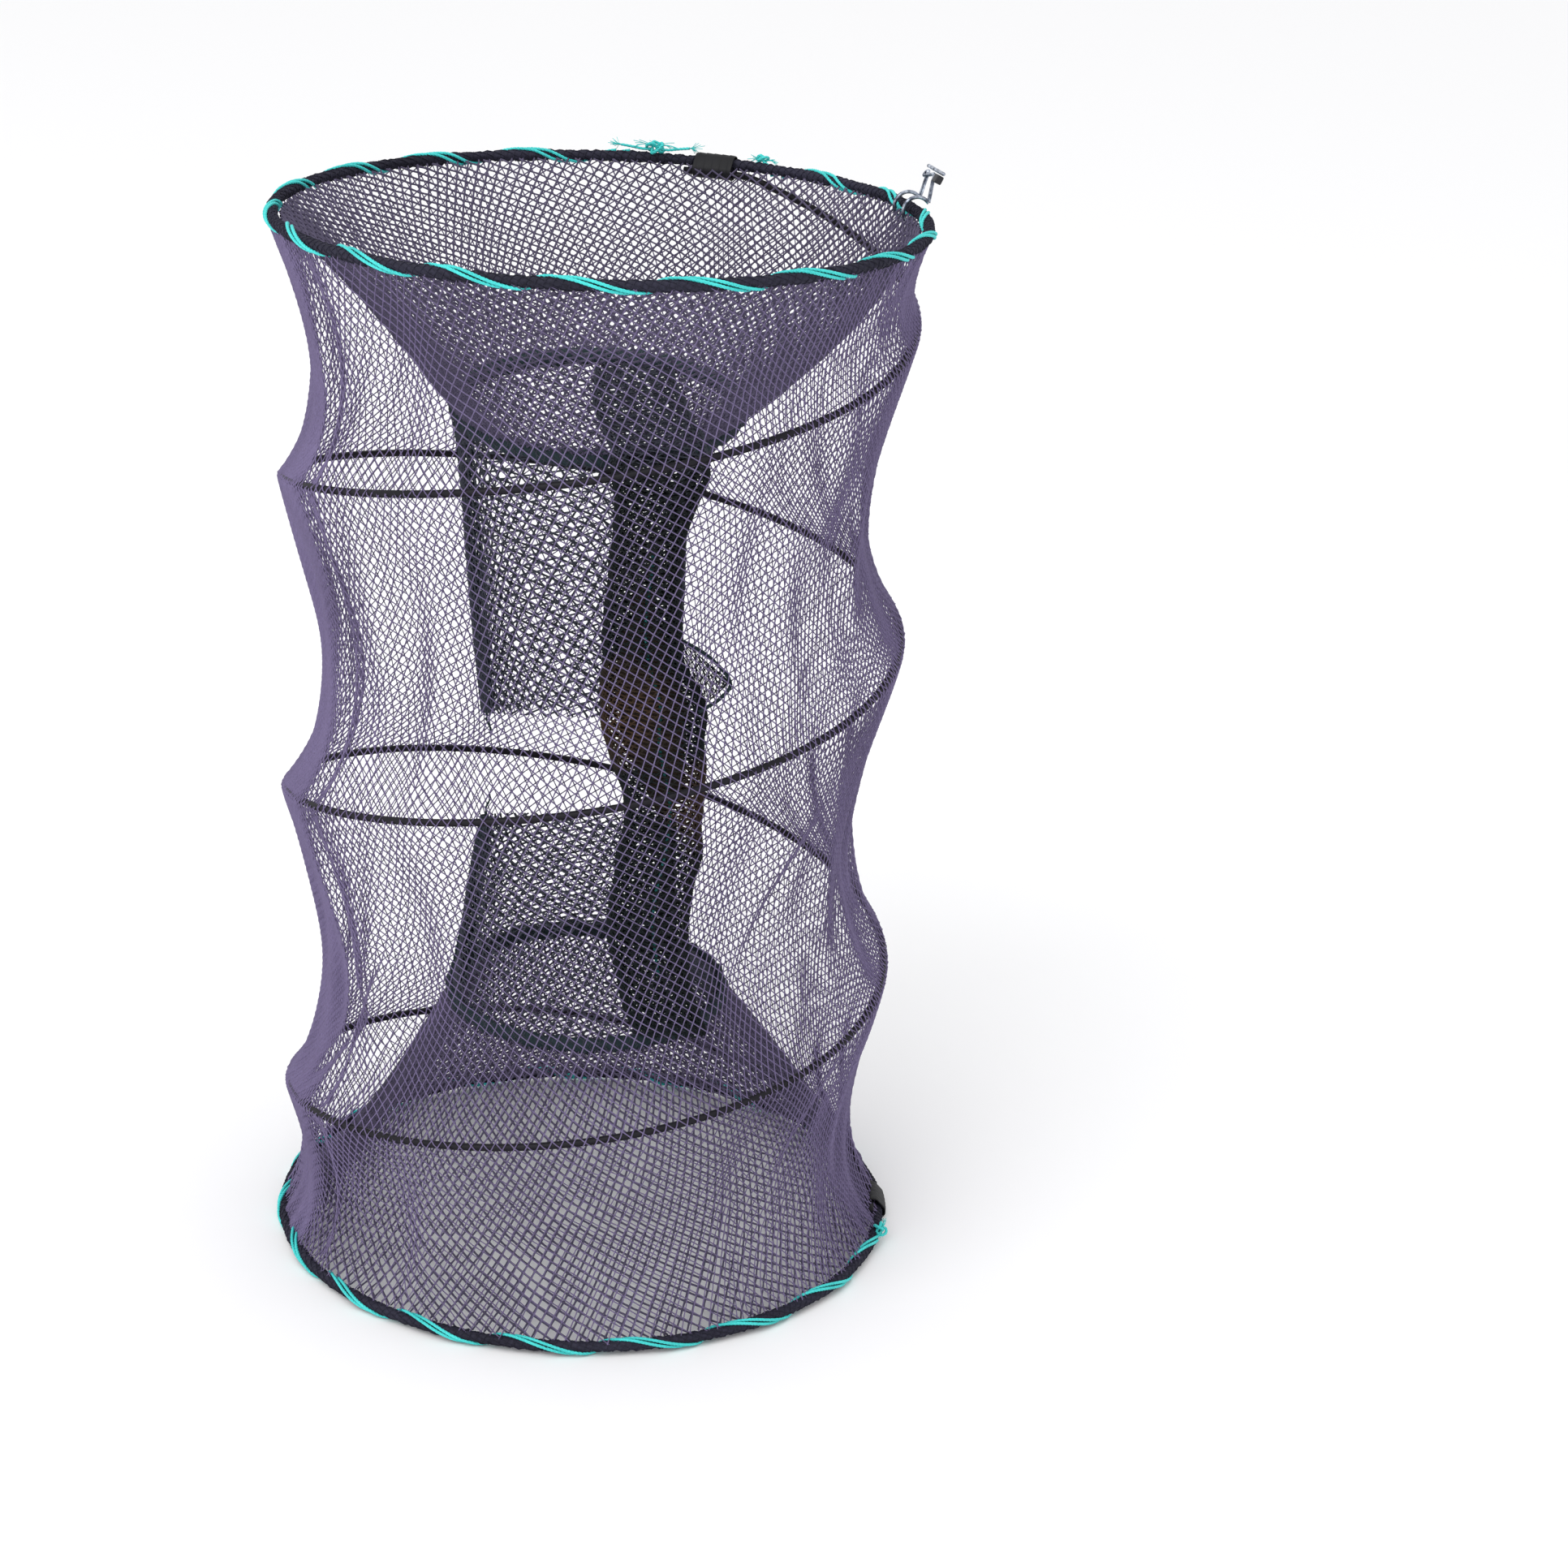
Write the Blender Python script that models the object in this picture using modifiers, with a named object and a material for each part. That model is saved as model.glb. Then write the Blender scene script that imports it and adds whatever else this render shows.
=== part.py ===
"""Folding crab trap: two wire rings held apart by a coil spring, covered by a net sleeve.

A net funnel leads in from each ring to a flat throat, and a bait sleeve hangs between the
throats. The frame is metres, +Z up, with the origin at the centre of the trap's underside.
Azimuth is measured from +X towards +Y, in degrees.
"""
import math

import bmesh
import bpy
import numpy as np
from mathutils import Matrix, Vector

# Driving dimensions, metres and degrees
RING_RADIUS = 0.148
RING_SPACING = 0.497
RING_WIRE_RADIUS = 0.00175
RING_SEGMENTS = 64

HEM_INNER = 0.0022
HEM_OUTER = 0.0030
HEM_SLIT_HALF = 0.0005

TWINE_RADIUS = 0.0005
LACING_CORNER_RADIUS = 0.00455
LACING_PITCH = 20.0
LACING_OUTER_SHARE = 0.72
STRAND_LEAD = 1.7
KNOT_RADIUS = 0.0030

COIL_RADIUS = 0.1443
COIL_WIRE_RADIUS = 0.00175
COIL_END_DROP = 0.0043
COIL_POINTS_PER_TURN = 48
# heights of the coil above the bottom ring where it crosses the trap's right and left side
COIL_CROSSINGS = (0.069, 0.137, 0.222, 0.304, 0.373, 0.453)
COIL_TAIL = 7.0
TOP_SPLICE_AZIMUTH = 68.0

TAPE_INNER = 0.00398
TAPE_LENGTH = 0.020
TAPE_SIDES = 20

NET_THICKNESS = 0.0008
NET_END_GAP = 0.0080
SLEEVE_RADIUS = 0.1468

FUNNEL_MOUTH_RADIUS = 0.1398
NECK_HALF_WIDTH = 0.066
NECK_HALF_DEPTH = 0.048
SLIT_HALF_WIDTH = 0.052
SLIT_HALF_DEPTH = 0.0045
TOP_FUNNEL_DEPTH = 0.100
TOP_THROAT_LENGTH = 0.138
BOTTOM_FUNNEL_DEPTH = 0.106
BOTTOM_THROAT_LENGTH = 0.098
FUNNEL_POINTS = 32
PIECE_GAP = 0.0004

# Bait sleeve: right of the axis, behind it, height above the bottom ring, half width, half depth
BAIT_FORM = (
    (0.0405, -0.0570, 0.118, 0.0165, 0.0070),
    (0.0330, -0.0505, 0.136, 0.0170, 0.0080),
    (0.0285, -0.0378, 0.166, 0.0185, 0.0085),
    (0.0330, -0.0260, 0.196, 0.0193, 0.0085),
    (0.0345, -0.0225, 0.211, 0.0180, 0.0080),
    (0.0345, -0.0220, 0.226, 0.0188, 0.0080),
    (0.0320, -0.0220, 0.241, 0.0210, 0.0085),
    (0.0292, -0.0222, 0.256, 0.0237, 0.0085),
    (0.0285, -0.0230, 0.271, 0.0240, 0.0085),
    (0.0240, -0.0285, 0.291, 0.0195, 0.0085),
    (0.0226, -0.0345, 0.306, 0.0178, 0.0085),
    (0.0223, -0.0427, 0.331, 0.0167, 0.0085),
    (0.0242, -0.0514, 0.361, 0.0160, 0.0080),
    (0.0284, -0.0610, 0.391, 0.0204, 0.0080),
    (0.0262, -0.0705, 0.411, 0.0215, 0.0070),
    (0.0200, -0.0840, 0.426, 0.0205, 0.0060),
    (0.0165, -0.0985, 0.441, 0.0185, 0.0050),
    (0.0150, -0.1105, 0.454, 0.0165, 0.0045),
)
BAIT_BAG_HEIGHT = 0.276
BAIT_BAG_HALF_HEIGHT = 0.060
BAIT_CORD_ENDS = (0.355, 0.145)
# Corners of the bait sleeve's loose flap: right of the axis, height above the bottom ring
FLAP_CORNERS = ((0.0430, 0.3045), (0.0640, 0.2850), (0.0535, 0.2720))
FLAP_HALF_THICKNESS = 0.0006

HANGER_AZIMUTH = 14.0
HANGER_LEAN = 27.0
HANGER_EYE_RADIUS = 0.0066
HANGER_WIRE_RADIUS = 0.0009
HANGER_HALF_WIDTH = 0.0065
HANGER_HEIGHT = 0.0185
HANGER_OVERHANG = 0.0085

# The lowest points of the trap are the flats of the twine that wraps the bottom hem.
BOTTOM_RING_Z = LACING_CORNER_RADIUS * math.cos(math.radians(30)) + TWINE_RADIUS
TOP_RING_Z = BOTTOM_RING_Z + RING_SPACING
# The tape's lowest side lies level with them.
TAPE_OUTER = BOTTOM_RING_Z / math.cos(math.pi / TAPE_SIDES)

for old in list(bpy.data.objects):
    bpy.data.objects.remove(old, do_unlink=True)

trap = bpy.data.collections.new("folding_crab_trap")
bpy.context.scene.collection.children.link(trap)


def material(name, colour, roughness, metallic=0.0):
    """A Principled material of one colour."""
    made = bpy.data.materials.new(name)
    made.use_nodes = True
    shader = made.node_tree.nodes["Principled BSDF"]
    shader.inputs["Base Color"].default_value = (*colour, 1.0)
    shader.inputs["Roughness"].default_value = roughness
    shader.inputs["Metallic"].default_value = metallic
    return made


STEEL = material("black_spring_steel", (0.020, 0.018, 0.024), 0.42, 0.6)
HEM_CLOTH = material("dark_hem_net", (0.035, 0.036, 0.055), 0.85)
NET = material("purple_grey_net", (0.075, 0.070, 0.098), 0.75)
FUNNEL_NET = material("funnel_net", (0.070, 0.074, 0.092), 0.78)
BAIT_NET = material("dark_bait_net", (0.018, 0.030, 0.034), 0.80)
BAIT_CLOTH = material("brown_bait_bag", (0.055, 0.038, 0.030), 0.85)
TWINE = material("turquoise_twine", (0.045, 0.640, 0.620), 0.55)
TAPE = material("black_tape", (0.012, 0.012, 0.014), 0.50)
BRIGHT_METAL = material("bright_metal", (0.620, 0.640, 0.680), 0.28, 1.0)
PLASTIC = material("black_plastic", (0.016, 0.015, 0.022), 0.45)


def keep(obj, name, made_of):
    """Names the object, gives it its material and moves it to the trap's collection."""
    obj.name = name
    obj.data.name = name
    obj.data.materials.clear()
    obj.data.materials.append(made_of)
    for owner in list(obj.users_collection):
        owner.objects.unlink(obj)
    trap.objects.link(obj)
    return obj


def mesh_object(name, form, made_of):
    """An object from a bmesh, shaded smooth with sharp edges where it turns hard."""
    mesh = bpy.data.meshes.new(name)
    form.to_mesh(mesh)
    form.free()
    mesh.shade_smooth()
    mesh.set_sharp_from_angle(angle=math.radians(40))
    return keep(bpy.data.objects.new(name, mesh), name, made_of)


def wire(name, route, radius, made_of, resolution=1):
    """A tube with filled caps along a route, a list of points."""
    curve = bpy.data.curves.new(name, "CURVE")
    curve.dimensions = "3D"
    curve.bevel_depth = radius
    curve.bevel_resolution = resolution
    curve.use_fill_caps = True
    spline = curve.splines.new("POLY")
    spline.points.add(len(route) - 1)
    for point, place in zip(spline.points, route):
        point.co = (*place, 1.0)
    return keep(bpy.data.objects.new(name, curve), name, made_of)


def turned(name, profile, made_of):
    """A closed profile in the XZ plane turned once round Z."""
    form = bmesh.new()
    corners = [form.verts.new((x, 0.0, z)) for x, z in profile]
    for corner, following in zip(corners, corners[1:] + corners[:1]):
        form.edges.new((corner, following))
    obj = mesh_object(name, form, made_of)
    screw = obj.modifiers.new("Turn", "SCREW")
    screw.axis = "Z"
    screw.angle = math.tau
    screw.steps = RING_SEGMENTS
    screw.render_steps = RING_SEGMENTS
    screw.use_merge_vertices = True
    screw.merge_threshold = 0.00001
    screw.use_smooth_shade = True
    return obj


def loft(name, sections, made_of, thickness=NET_THICKNESS):
    """A net tube through sections from the top down, thickened inwards to a closed shell."""
    form = bmesh.new()
    loops = [[form.verts.new(place) for place in section] for section in sections]
    for upper, lower in zip(loops, loops[1:]):
        for k in range(len(upper)):
            following = (k + 1) % len(upper)
            form.faces.new((upper[k], lower[k], lower[following], upper[following]))
    obj = mesh_object(name, form, made_of)
    shell = obj.modifiers.new("Net thickness", "SOLIDIFY")
    shell.thickness = thickness
    shell.offset = -1.0
    return obj


def on_ring(azimuth, radial, height, ring_z):
    """The point at an azimuth that lies radial outside the ring's wire and height above it."""
    turn = math.radians(azimuth)
    reach = RING_RADIUS + radial
    return Vector((reach * math.cos(turn), reach * math.sin(turn), ring_z + height))


def oval(centre_x, centre_y, half_width, half_depth, z, points=FUNNEL_POINTS):
    """Points round a level oval, anticlockwise from above."""
    turns = [math.tau * k / points for k in range(points)]
    return [
        (centre_x + half_width * math.cos(t), centre_y + half_depth * math.sin(t), z)
        for t in turns
    ]


# Rings, hems and lacing

def ring(name, ring_z):
    bpy.ops.mesh.primitive_torus_add(
        major_radius=RING_RADIUS,
        minor_radius=RING_WIRE_RADIUS,
        major_segments=RING_SEGMENTS,
        minor_segments=6,
        location=(0.0, 0.0, ring_z),
    )
    obj = keep(bpy.context.object, name, STEEL)
    obj.data.shade_smooth()
    return obj


def hem(name, ring_z):
    """A six-sided fold of net round the ring's wire, slit along the side that faces the axis."""
    def side(apothem):
        corner = apothem / math.cos(math.radians(30))
        return [
            (corner * math.cos(math.radians(turn)), corner * math.sin(math.radians(turn)))
            for turn in (120, 60, 0, -60, -120)
        ]

    def lip(apothem, height):
        return (-(apothem - abs(height) / 2) / math.cos(math.radians(30)), height)

    outer = [lip(HEM_OUTER, HEM_SLIT_HALF), *side(HEM_OUTER), lip(HEM_OUTER, -HEM_SLIT_HALF)]
    inner = [lip(HEM_INNER, HEM_SLIT_HALF), *side(HEM_INNER), lip(HEM_INNER, -HEM_SLIT_HALF)]
    profile = outer + inner[::-1]
    return turned(name, [(RING_RADIUS + x, ring_z + z) for x, z in profile], HEM_CLOTH)


def lacing(name, ring_z, first, last):
    """Twine wound round the hem: a long slant over the outer side, a short step inside."""
    corners = (60, 0, -60, -120, -180, -240)
    outer_step = LACING_PITCH * LACING_OUTER_SHARE / 3
    inner_step = LACING_PITCH * (1 - LACING_OUTER_SHARE) / 3
    steps = (outer_step, outer_step, inner_step, inner_step, inner_step, outer_step)
    route = []
    azimuth = first
    count = 0
    while azimuth < last:
        turn = math.radians(corners[count % 6])
        radial = LACING_CORNER_RADIUS * math.cos(turn)
        height = LACING_CORNER_RADIUS * math.sin(turn)
        route.append(on_ring(azimuth, radial, height, ring_z))
        azimuth += steps[count % 6]
        count += 1
    return wire(name, route, TWINE_RADIUS, TWINE)


def knot(name, azimuth, ring_z, radius=KNOT_RADIUS, section=90.0):
    """A round knot of twine that sits on the hem, at an angle up from the ring's outer side."""
    form = bmesh.new()
    bmesh.ops.create_uvsphere(form, u_segments=10, v_segments=6, radius=radius)
    bmesh.ops.scale(form, verts=form.verts, vec=(1.25, 1.0, 0.85))
    hem_corner = HEM_OUTER / math.cos(math.radians(30))
    reach = hem_corner + PIECE_GAP + radius
    radial = reach * math.cos(math.radians(section))
    height = reach * math.sin(math.radians(section))
    turn = Matrix.Rotation(math.radians(azimuth + 90), 4, "Z")
    place = Matrix.Translation(on_ring(azimuth, radial, height, ring_z))
    bmesh.ops.transform(form, verts=form.verts, matrix=place @ turn)
    return mesh_object(name, form, TWINE)


ring("bottom_ring", BOTTOM_RING_Z)
ring("top_ring", TOP_RING_Z)
hem("bottom_hem", BOTTOM_RING_Z)
hem("top_hem", TOP_RING_Z)
for strand in range(2):
    lead = strand * STRAND_LEAD
    lacing(f"bottom_lacing_{strand + 1}", BOTTOM_RING_Z, 20.0 + lead, 344.0 + lead)
    lacing(f"top_lacing_{strand + 1}", TOP_RING_Z, 85.0 + lead, 413.0 + lead)
knot("bottom_lacing_knot", -13.0, BOTTOM_RING_Z, section=42.0)
knot("top_lacing_knot", 59.0, TOP_RING_Z, section=42.0)

CLOSING_KNOT_AZIMUTH = 80.0
CLOSING_KNOT_RADIUS = 0.0040
knot("closing_cord_knot", CLOSING_KNOT_AZIMUTH, TOP_RING_Z, CLOSING_KNOT_RADIUS)


def knot_tail(lead):
    """A short cut end of twine that lies along the hem on one side of the closing knot."""
    start = CLOSING_KNOT_AZIMUTH + lead * 2.3
    height = HEM_OUTER + 0.0044
    lift = (0.0, 0.0010, 0.0008, -0.0004)
    return [
        on_ring(start + lead * 1.3 * k, 0.0006 * k * lead, height + rise, TOP_RING_Z)
        for k, rise in enumerate(lift)
    ]


wire("closing_cord_tail_right", knot_tail(-1), 0.0006, TWINE)
wire("closing_cord_tail_left", knot_tail(1), 0.0006, TWINE)


# Coil spring and the tape that binds its two ends to the rings

def coil_route():
    """The coil's centre line, from the bottom splice up to the top splice."""
    half_turn = 180.0
    top_crossing = half_turn * len(COIL_CROSSINGS)
    top_splice = top_crossing + TOP_SPLICE_AZIMUTH
    marks = [-COIL_TAIL, COIL_TAIL]
    marks += [half_turn * (k + 1) for k in range(len(COIL_CROSSINGS))]
    marks += [top_splice - COIL_TAIL, top_splice + COIL_TAIL]
    heights = [COIL_END_DROP, COIL_END_DROP, *COIL_CROSSINGS]
    heights += [RING_SPACING - COIL_END_DROP] * 2
    step = 360.0 / COIL_POINTS_PER_TURN
    count = round((marks[-1] - marks[0]) / step)
    turns = np.linspace(marks[0], marks[-1], count + 1)
    # each point takes the mean height of the stretch round it, which rounds off the marks
    reach = np.clip(np.minimum(turns - marks[1], marks[-2] - turns), 0.0, 45.0)
    blend = np.linspace(-1.0, 1.0, 41)
    mean = [np.interp(t + r * blend, marks, heights).mean() for t, r in zip(turns, reach)]
    return [
        (
            COIL_RADIUS * math.cos(math.radians(t)),
            COIL_RADIUS * math.sin(math.radians(t)),
            BOTTOM_RING_Z + z,
        )
        for t, z in zip(turns, mean)
    ]


def splice_tape(name, azimuth, ring_z, side):
    """A flattened tube of tape round the hem and the coil's end, side +1 above the ring."""
    lean = Vector((COIL_RADIUS - RING_RADIUS, side * COIL_END_DROP))
    along = lean.normalized()
    far = along * (lean.length + COIL_WIRE_RADIUS + 0.0006 - TAPE_INNER)
    half = TAPE_LENGTH / 2

    def outline(radius):
        points = []
        for k in range(TAPE_SIDES):
            turn = math.tau * (k + 0.5) / TAPE_SIDES
            arm = Vector((math.cos(turn), math.sin(turn)))
            points.append(arm * radius + (far if arm.dot(along) > 0 else Vector((0, 0))))
        return points

    tangent = Vector((-math.sin(math.radians(azimuth)), math.cos(math.radians(azimuth)), 0))
    # the straight tube sits at the mean radius of the short arc that runs through it
    sag = half * half / (4 * RING_RADIUS)
    form = bmesh.new()
    rims = []
    ends = ((TAPE_OUTER, -half), (TAPE_OUTER, half), (TAPE_INNER, half), (TAPE_INNER, -half))
    for radius, shift in ends:
        rim = []
        for point in outline(radius):
            place = on_ring(azimuth, point.x - sag, point.y, ring_z) + tangent * shift
            rim.append(form.verts.new(place))
        rims.append(rim)
    for rim, following in zip(rims, rims[1:] + rims[:1]):
        for k in range(len(rim)):
            after = (k + 1) % len(rim)
            form.faces.new((rim[k], rim[after], following[after], following[k]))
    bmesh.ops.recalc_face_normals(form, faces=form.faces)
    return mesh_object(name, form, TAPE)


wire("coil_spring", coil_route(), COIL_WIRE_RADIUS, STEEL)
splice_tape("bottom_splice_tape", 0.0, BOTTOM_RING_Z, 1)
splice_tape("top_splice_tape", TOP_SPLICE_AZIMUTH, TOP_RING_Z, -1)


# Net sleeve, funnels and throats

SLEEVE_TOP = TOP_RING_Z - NET_END_GAP
SLEEVE_BOTTOM = BOTTOM_RING_Z + NET_END_GAP
turned(
    "sleeve_net",
    [
        (SLEEVE_RADIUS + NET_THICKNESS, SLEEVE_TOP),
        (SLEEVE_RADIUS + NET_THICKNESS, SLEEVE_BOTTOM),
        (SLEEVE_RADIUS, SLEEVE_BOTTOM),
        (SLEEVE_RADIUS, SLEEVE_TOP),
    ],
    NET,
)


def funnel_and_throat(end, ring_z, way, depth, length):
    """A funnel from the ring to an oval neck, and the throat that closes to a flat slit."""
    neck_z = ring_z + way * depth
    slit_z = neck_z + way * length
    mouth_z = ring_z + way * 0.002

    def blend(share, power):
        bow = share**power
        return (
            FUNNEL_MOUTH_RADIUS + (NECK_HALF_WIDTH - FUNNEL_MOUTH_RADIUS) * bow,
            FUNNEL_MOUTH_RADIUS + (NECK_HALF_DEPTH - FUNNEL_MOUTH_RADIUS) * bow,
        )

    cone = []
    for share in (0.0, 0.35, 0.7, 1.0):
        width, depth_here = blend(share, 0.9)
        cone.append(oval(0, 0, width, depth_here, mouth_z + (neck_z - mouth_z) * share))
    throat = []
    for share in (0.0, 0.33, 0.66, 1.0):
        width = NECK_HALF_WIDTH + (SLIT_HALF_WIDTH - NECK_HALF_WIDTH) * share
        depth_here = NECK_HALF_DEPTH + (SLIT_HALF_DEPTH - NECK_HALF_DEPTH) * share**0.8
        start = neck_z + way * (PIECE_GAP + NET_THICKNESS)
        throat.append(oval(0, 0, width, depth_here, start + (slit_z - start) * share))
    if way > 0:
        cone.reverse()
        throat.reverse()
    loft(end + "_funnel", cone, FUNNEL_NET)
    loft(end + "_throat", throat, FUNNEL_NET)
    return neck_z, slit_z


top_neck_z, top_slit_z = funnel_and_throat(
    "top", TOP_RING_Z, -1, TOP_FUNNEL_DEPTH, TOP_THROAT_LENGTH
)
bottom_neck_z, bottom_slit_z = funnel_and_throat(
    "bottom", BOTTOM_RING_Z, 1, BOTTOM_FUNNEL_DEPTH, BOTTOM_THROAT_LENGTH
)


def corner_knot(name, slit_z, way):
    """The thread that gathers a throat's left corner, with its short end."""
    tip = Vector((-SLIT_HALF_WIDTH, 0.0, slit_z + way * (PIECE_GAP + 0.0007)))
    route = [tip + Vector((0.0010 * k, 0.0, way * 0.0028 * k)) for k in range(5)]
    return wire(name, route, 0.0006, BAIT_NET)


corner_knot("top_throat_thread", top_slit_z, -1)
corner_knot("bottom_throat_thread", bottom_slit_z, 1)


# Bait sleeve, the bag inside it, and its cord

def bait_form(height):
    """The bait sleeve's centre and its half width and depth at a height above the bottom ring."""
    levels = [station[2] for station in BAIT_FORM]
    x, y, half_width, half_depth = (
        float(np.interp(height, levels, [station[k] for station in BAIT_FORM])) for k in (0, 1, 3, 4)
    )
    return x, y, half_width, half_depth


def bait_sleeve():
    """A flat tube of dense net in front of both throats, its top laid up against the funnel."""
    sections = []
    for x, y, height, half_width, half_depth in reversed(BAIT_FORM):
        sections.append(oval(x, y, half_width, half_depth, BOTTOM_RING_Z + height, 16))
    return loft("bait_sleeve", sections, BAIT_NET)


def bait_bag():
    """The pouch inside the sleeve, an oval form with a soft round top and bottom."""
    form = bmesh.new()
    bmesh.ops.create_uvsphere(form, u_segments=12, v_segments=10, radius=1.0)
    for corner in form.verts:
        height = BAIT_BAG_HEIGHT + BAIT_BAG_HALF_HEIGHT * corner.co.z
        x, y, half_width, half_depth = bait_form(height)
        across = 0.60 * half_width * corner.co.x
        deep = 0.48 * half_depth * corner.co.y
        corner.co = (x + across, y + deep, BOTTOM_RING_Z + height)
    return mesh_object("bait_bag", form, BAIT_CLOTH)


def bait_flap():
    """The loose corner of the bait sleeve, a three-sided tab at its right edge."""
    form = bmesh.new()
    y = bait_form(FLAP_CORNERS[1][1])[1]
    back, front = (
        [form.verts.new((x, y + side * FLAP_HALF_THICKNESS, BOTTOM_RING_Z + height))
         for x, height in FLAP_CORNERS]
        for side in (1, -1)
    )
    form.faces.new(back)
    form.faces.new(front)
    for k in range(3):
        after = (k + 1) % 3
        form.faces.new((back[k], back[after], front[after], front[k]))
    bmesh.ops.recalc_face_normals(form, faces=form.faces)
    return mesh_object("bait_flap", form, BAIT_NET)


def bait_cord():
    """The drawstring that runs down inside the sleeve, in front of the pouch."""
    route = []
    for height in np.linspace(*BAIT_CORD_ENDS, 18):
        x, y, half_width, half_depth = bait_form(height)
        route.append((x + 0.12 * half_width, y - 0.62 * half_depth, BOTTOM_RING_Z + height))
    return wire("bait_cord", route, 0.0006, TWINE)


bait_sleeve()
bait_bag()
bait_flap()
bait_cord()


# Wire hanger that swings on the top ring

hinge_point = on_ring(HANGER_AZIMUTH, 0.0, 0.0, TOP_RING_Z)
hanger_turn = math.radians(HANGER_AZIMUTH)
outward = Vector((math.cos(hanger_turn), math.sin(hanger_turn), 0))
forward = Vector((outward.y, -outward.x, 0))
lean_turn = math.radians(HANGER_LEAN)
rise_way = outward * math.sin(lean_turn) + Vector((0, 0, math.cos(lean_turn)))
face_way = outward * math.cos(lean_turn) - Vector((0, 0, math.sin(lean_turn)))


def hanger_place(along, rise, proud=0.0):
    """A point of the hanger from its distance along the ring, up its legs and off its face."""
    return hinge_point + forward * along + rise_way * rise + face_way * proud


def on_hanger(obj):
    """Moves the object's origin onto the hanger's hinge axis."""
    shift = Matrix.Translation(-hinge_point)
    obj.data.transform(shift)
    obj.location = hinge_point
    return obj


def hanger_bail():
    """One wire: an open eye round the hem, a leg, the top, a leg and a second open eye."""
    eye = []
    for k in range(11):
        turn = math.radians(30 - 30 * k)
        eye.append((HANGER_EYE_RADIUS * math.sin(turn), HANGER_EYE_RADIUS * math.cos(turn)))
    route = [hanger_place(-HANGER_HALF_WIDTH, rise, proud) for rise, proud in eye[::-1]]
    bend = 0.0025
    top = HANGER_HEIGHT
    side = HANGER_HALF_WIDTH
    route += [hanger_place(-side, top - bend), hanger_place(-side + 0.3 * bend, top - 0.3 * bend)]
    route += [hanger_place(-side + bend, top), hanger_place(side - bend, top)]
    route += [hanger_place(side - 0.3 * bend, top - 0.3 * bend), hanger_place(side, top - bend)]
    route += [hanger_place(side, rise, proud) for rise, proud in eye]
    return on_hanger(wire("hanger_bail", route, HANGER_WIRE_RADIUS, BRIGHT_METAL))


def hanger_crossbar():
    """A straight pin on top of the bail that runs on past its front leg."""
    rise = HANGER_HEIGHT + 2 * HANGER_WIRE_RADIUS + PIECE_GAP
    ends = (-HANGER_HALF_WIDTH - 0.001, HANGER_HALF_WIDTH + HANGER_OVERHANG)
    route = [hanger_place(along, rise) for along in ends]
    return on_hanger(wire("hanger_crossbar", route, HANGER_WIRE_RADIUS, BRIGHT_METAL))


def hanger_stop():
    """The small plastic block under the free end of the crossbar."""
    form = bmesh.new()
    bmesh.ops.create_cube(form, size=1.0)
    height = 0.0040
    bmesh.ops.scale(form, verts=form.verts, vec=(0.0050, 0.0034, height))
    rise = HANGER_HEIGHT + HANGER_WIRE_RADIUS - height / 2
    along = HANGER_HALF_WIDTH + HANGER_WIRE_RADIUS + PIECE_GAP + 0.0032
    basis = Matrix((forward, face_way, rise_way)).transposed().to_4x4()
    place = Matrix.Translation(hanger_place(along, rise))
    bmesh.ops.transform(form, verts=form.verts, matrix=place @ basis)
    bmesh.ops.bevel(form, geom=form.edges, offset=0.0005, segments=1, affect="EDGES")
    bmesh.ops.recalc_face_normals(form, faces=form.faces)
    return on_hanger(mesh_object("hanger_stop", form, PLASTIC))


hanger_bail()
hanger_crossbar()
hanger_stop()
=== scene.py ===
"""Looks of the folding crab trap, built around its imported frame.

Every net is made strand by strand from a flat lattice that is laid over a curved surface.
Lengths are metres and azimuth is measured from +X towards +Y.
"""
import math

import bmesh
import bpy
import numpy as np
from mathutils import Matrix, Vector


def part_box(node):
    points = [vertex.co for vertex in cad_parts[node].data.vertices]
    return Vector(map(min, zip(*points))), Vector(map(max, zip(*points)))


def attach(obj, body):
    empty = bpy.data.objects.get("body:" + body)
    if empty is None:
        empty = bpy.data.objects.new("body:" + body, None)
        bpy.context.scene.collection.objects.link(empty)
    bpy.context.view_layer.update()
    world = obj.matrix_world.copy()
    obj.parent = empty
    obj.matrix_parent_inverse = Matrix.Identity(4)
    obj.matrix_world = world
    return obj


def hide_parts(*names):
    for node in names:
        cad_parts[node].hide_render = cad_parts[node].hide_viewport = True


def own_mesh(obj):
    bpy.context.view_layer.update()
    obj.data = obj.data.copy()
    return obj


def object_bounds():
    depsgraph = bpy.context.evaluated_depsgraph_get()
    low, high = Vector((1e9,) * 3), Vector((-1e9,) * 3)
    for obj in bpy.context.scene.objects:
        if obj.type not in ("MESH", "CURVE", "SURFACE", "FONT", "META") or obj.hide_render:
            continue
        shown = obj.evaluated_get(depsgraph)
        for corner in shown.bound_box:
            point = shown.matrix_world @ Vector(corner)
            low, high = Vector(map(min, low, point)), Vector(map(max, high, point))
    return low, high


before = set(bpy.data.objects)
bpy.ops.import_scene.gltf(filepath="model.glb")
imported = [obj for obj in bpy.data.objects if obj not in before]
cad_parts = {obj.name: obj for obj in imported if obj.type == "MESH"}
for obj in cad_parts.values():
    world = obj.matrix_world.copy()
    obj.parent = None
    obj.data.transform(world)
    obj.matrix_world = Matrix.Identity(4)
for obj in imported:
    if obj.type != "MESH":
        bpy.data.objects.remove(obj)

cad_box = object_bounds()

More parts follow.
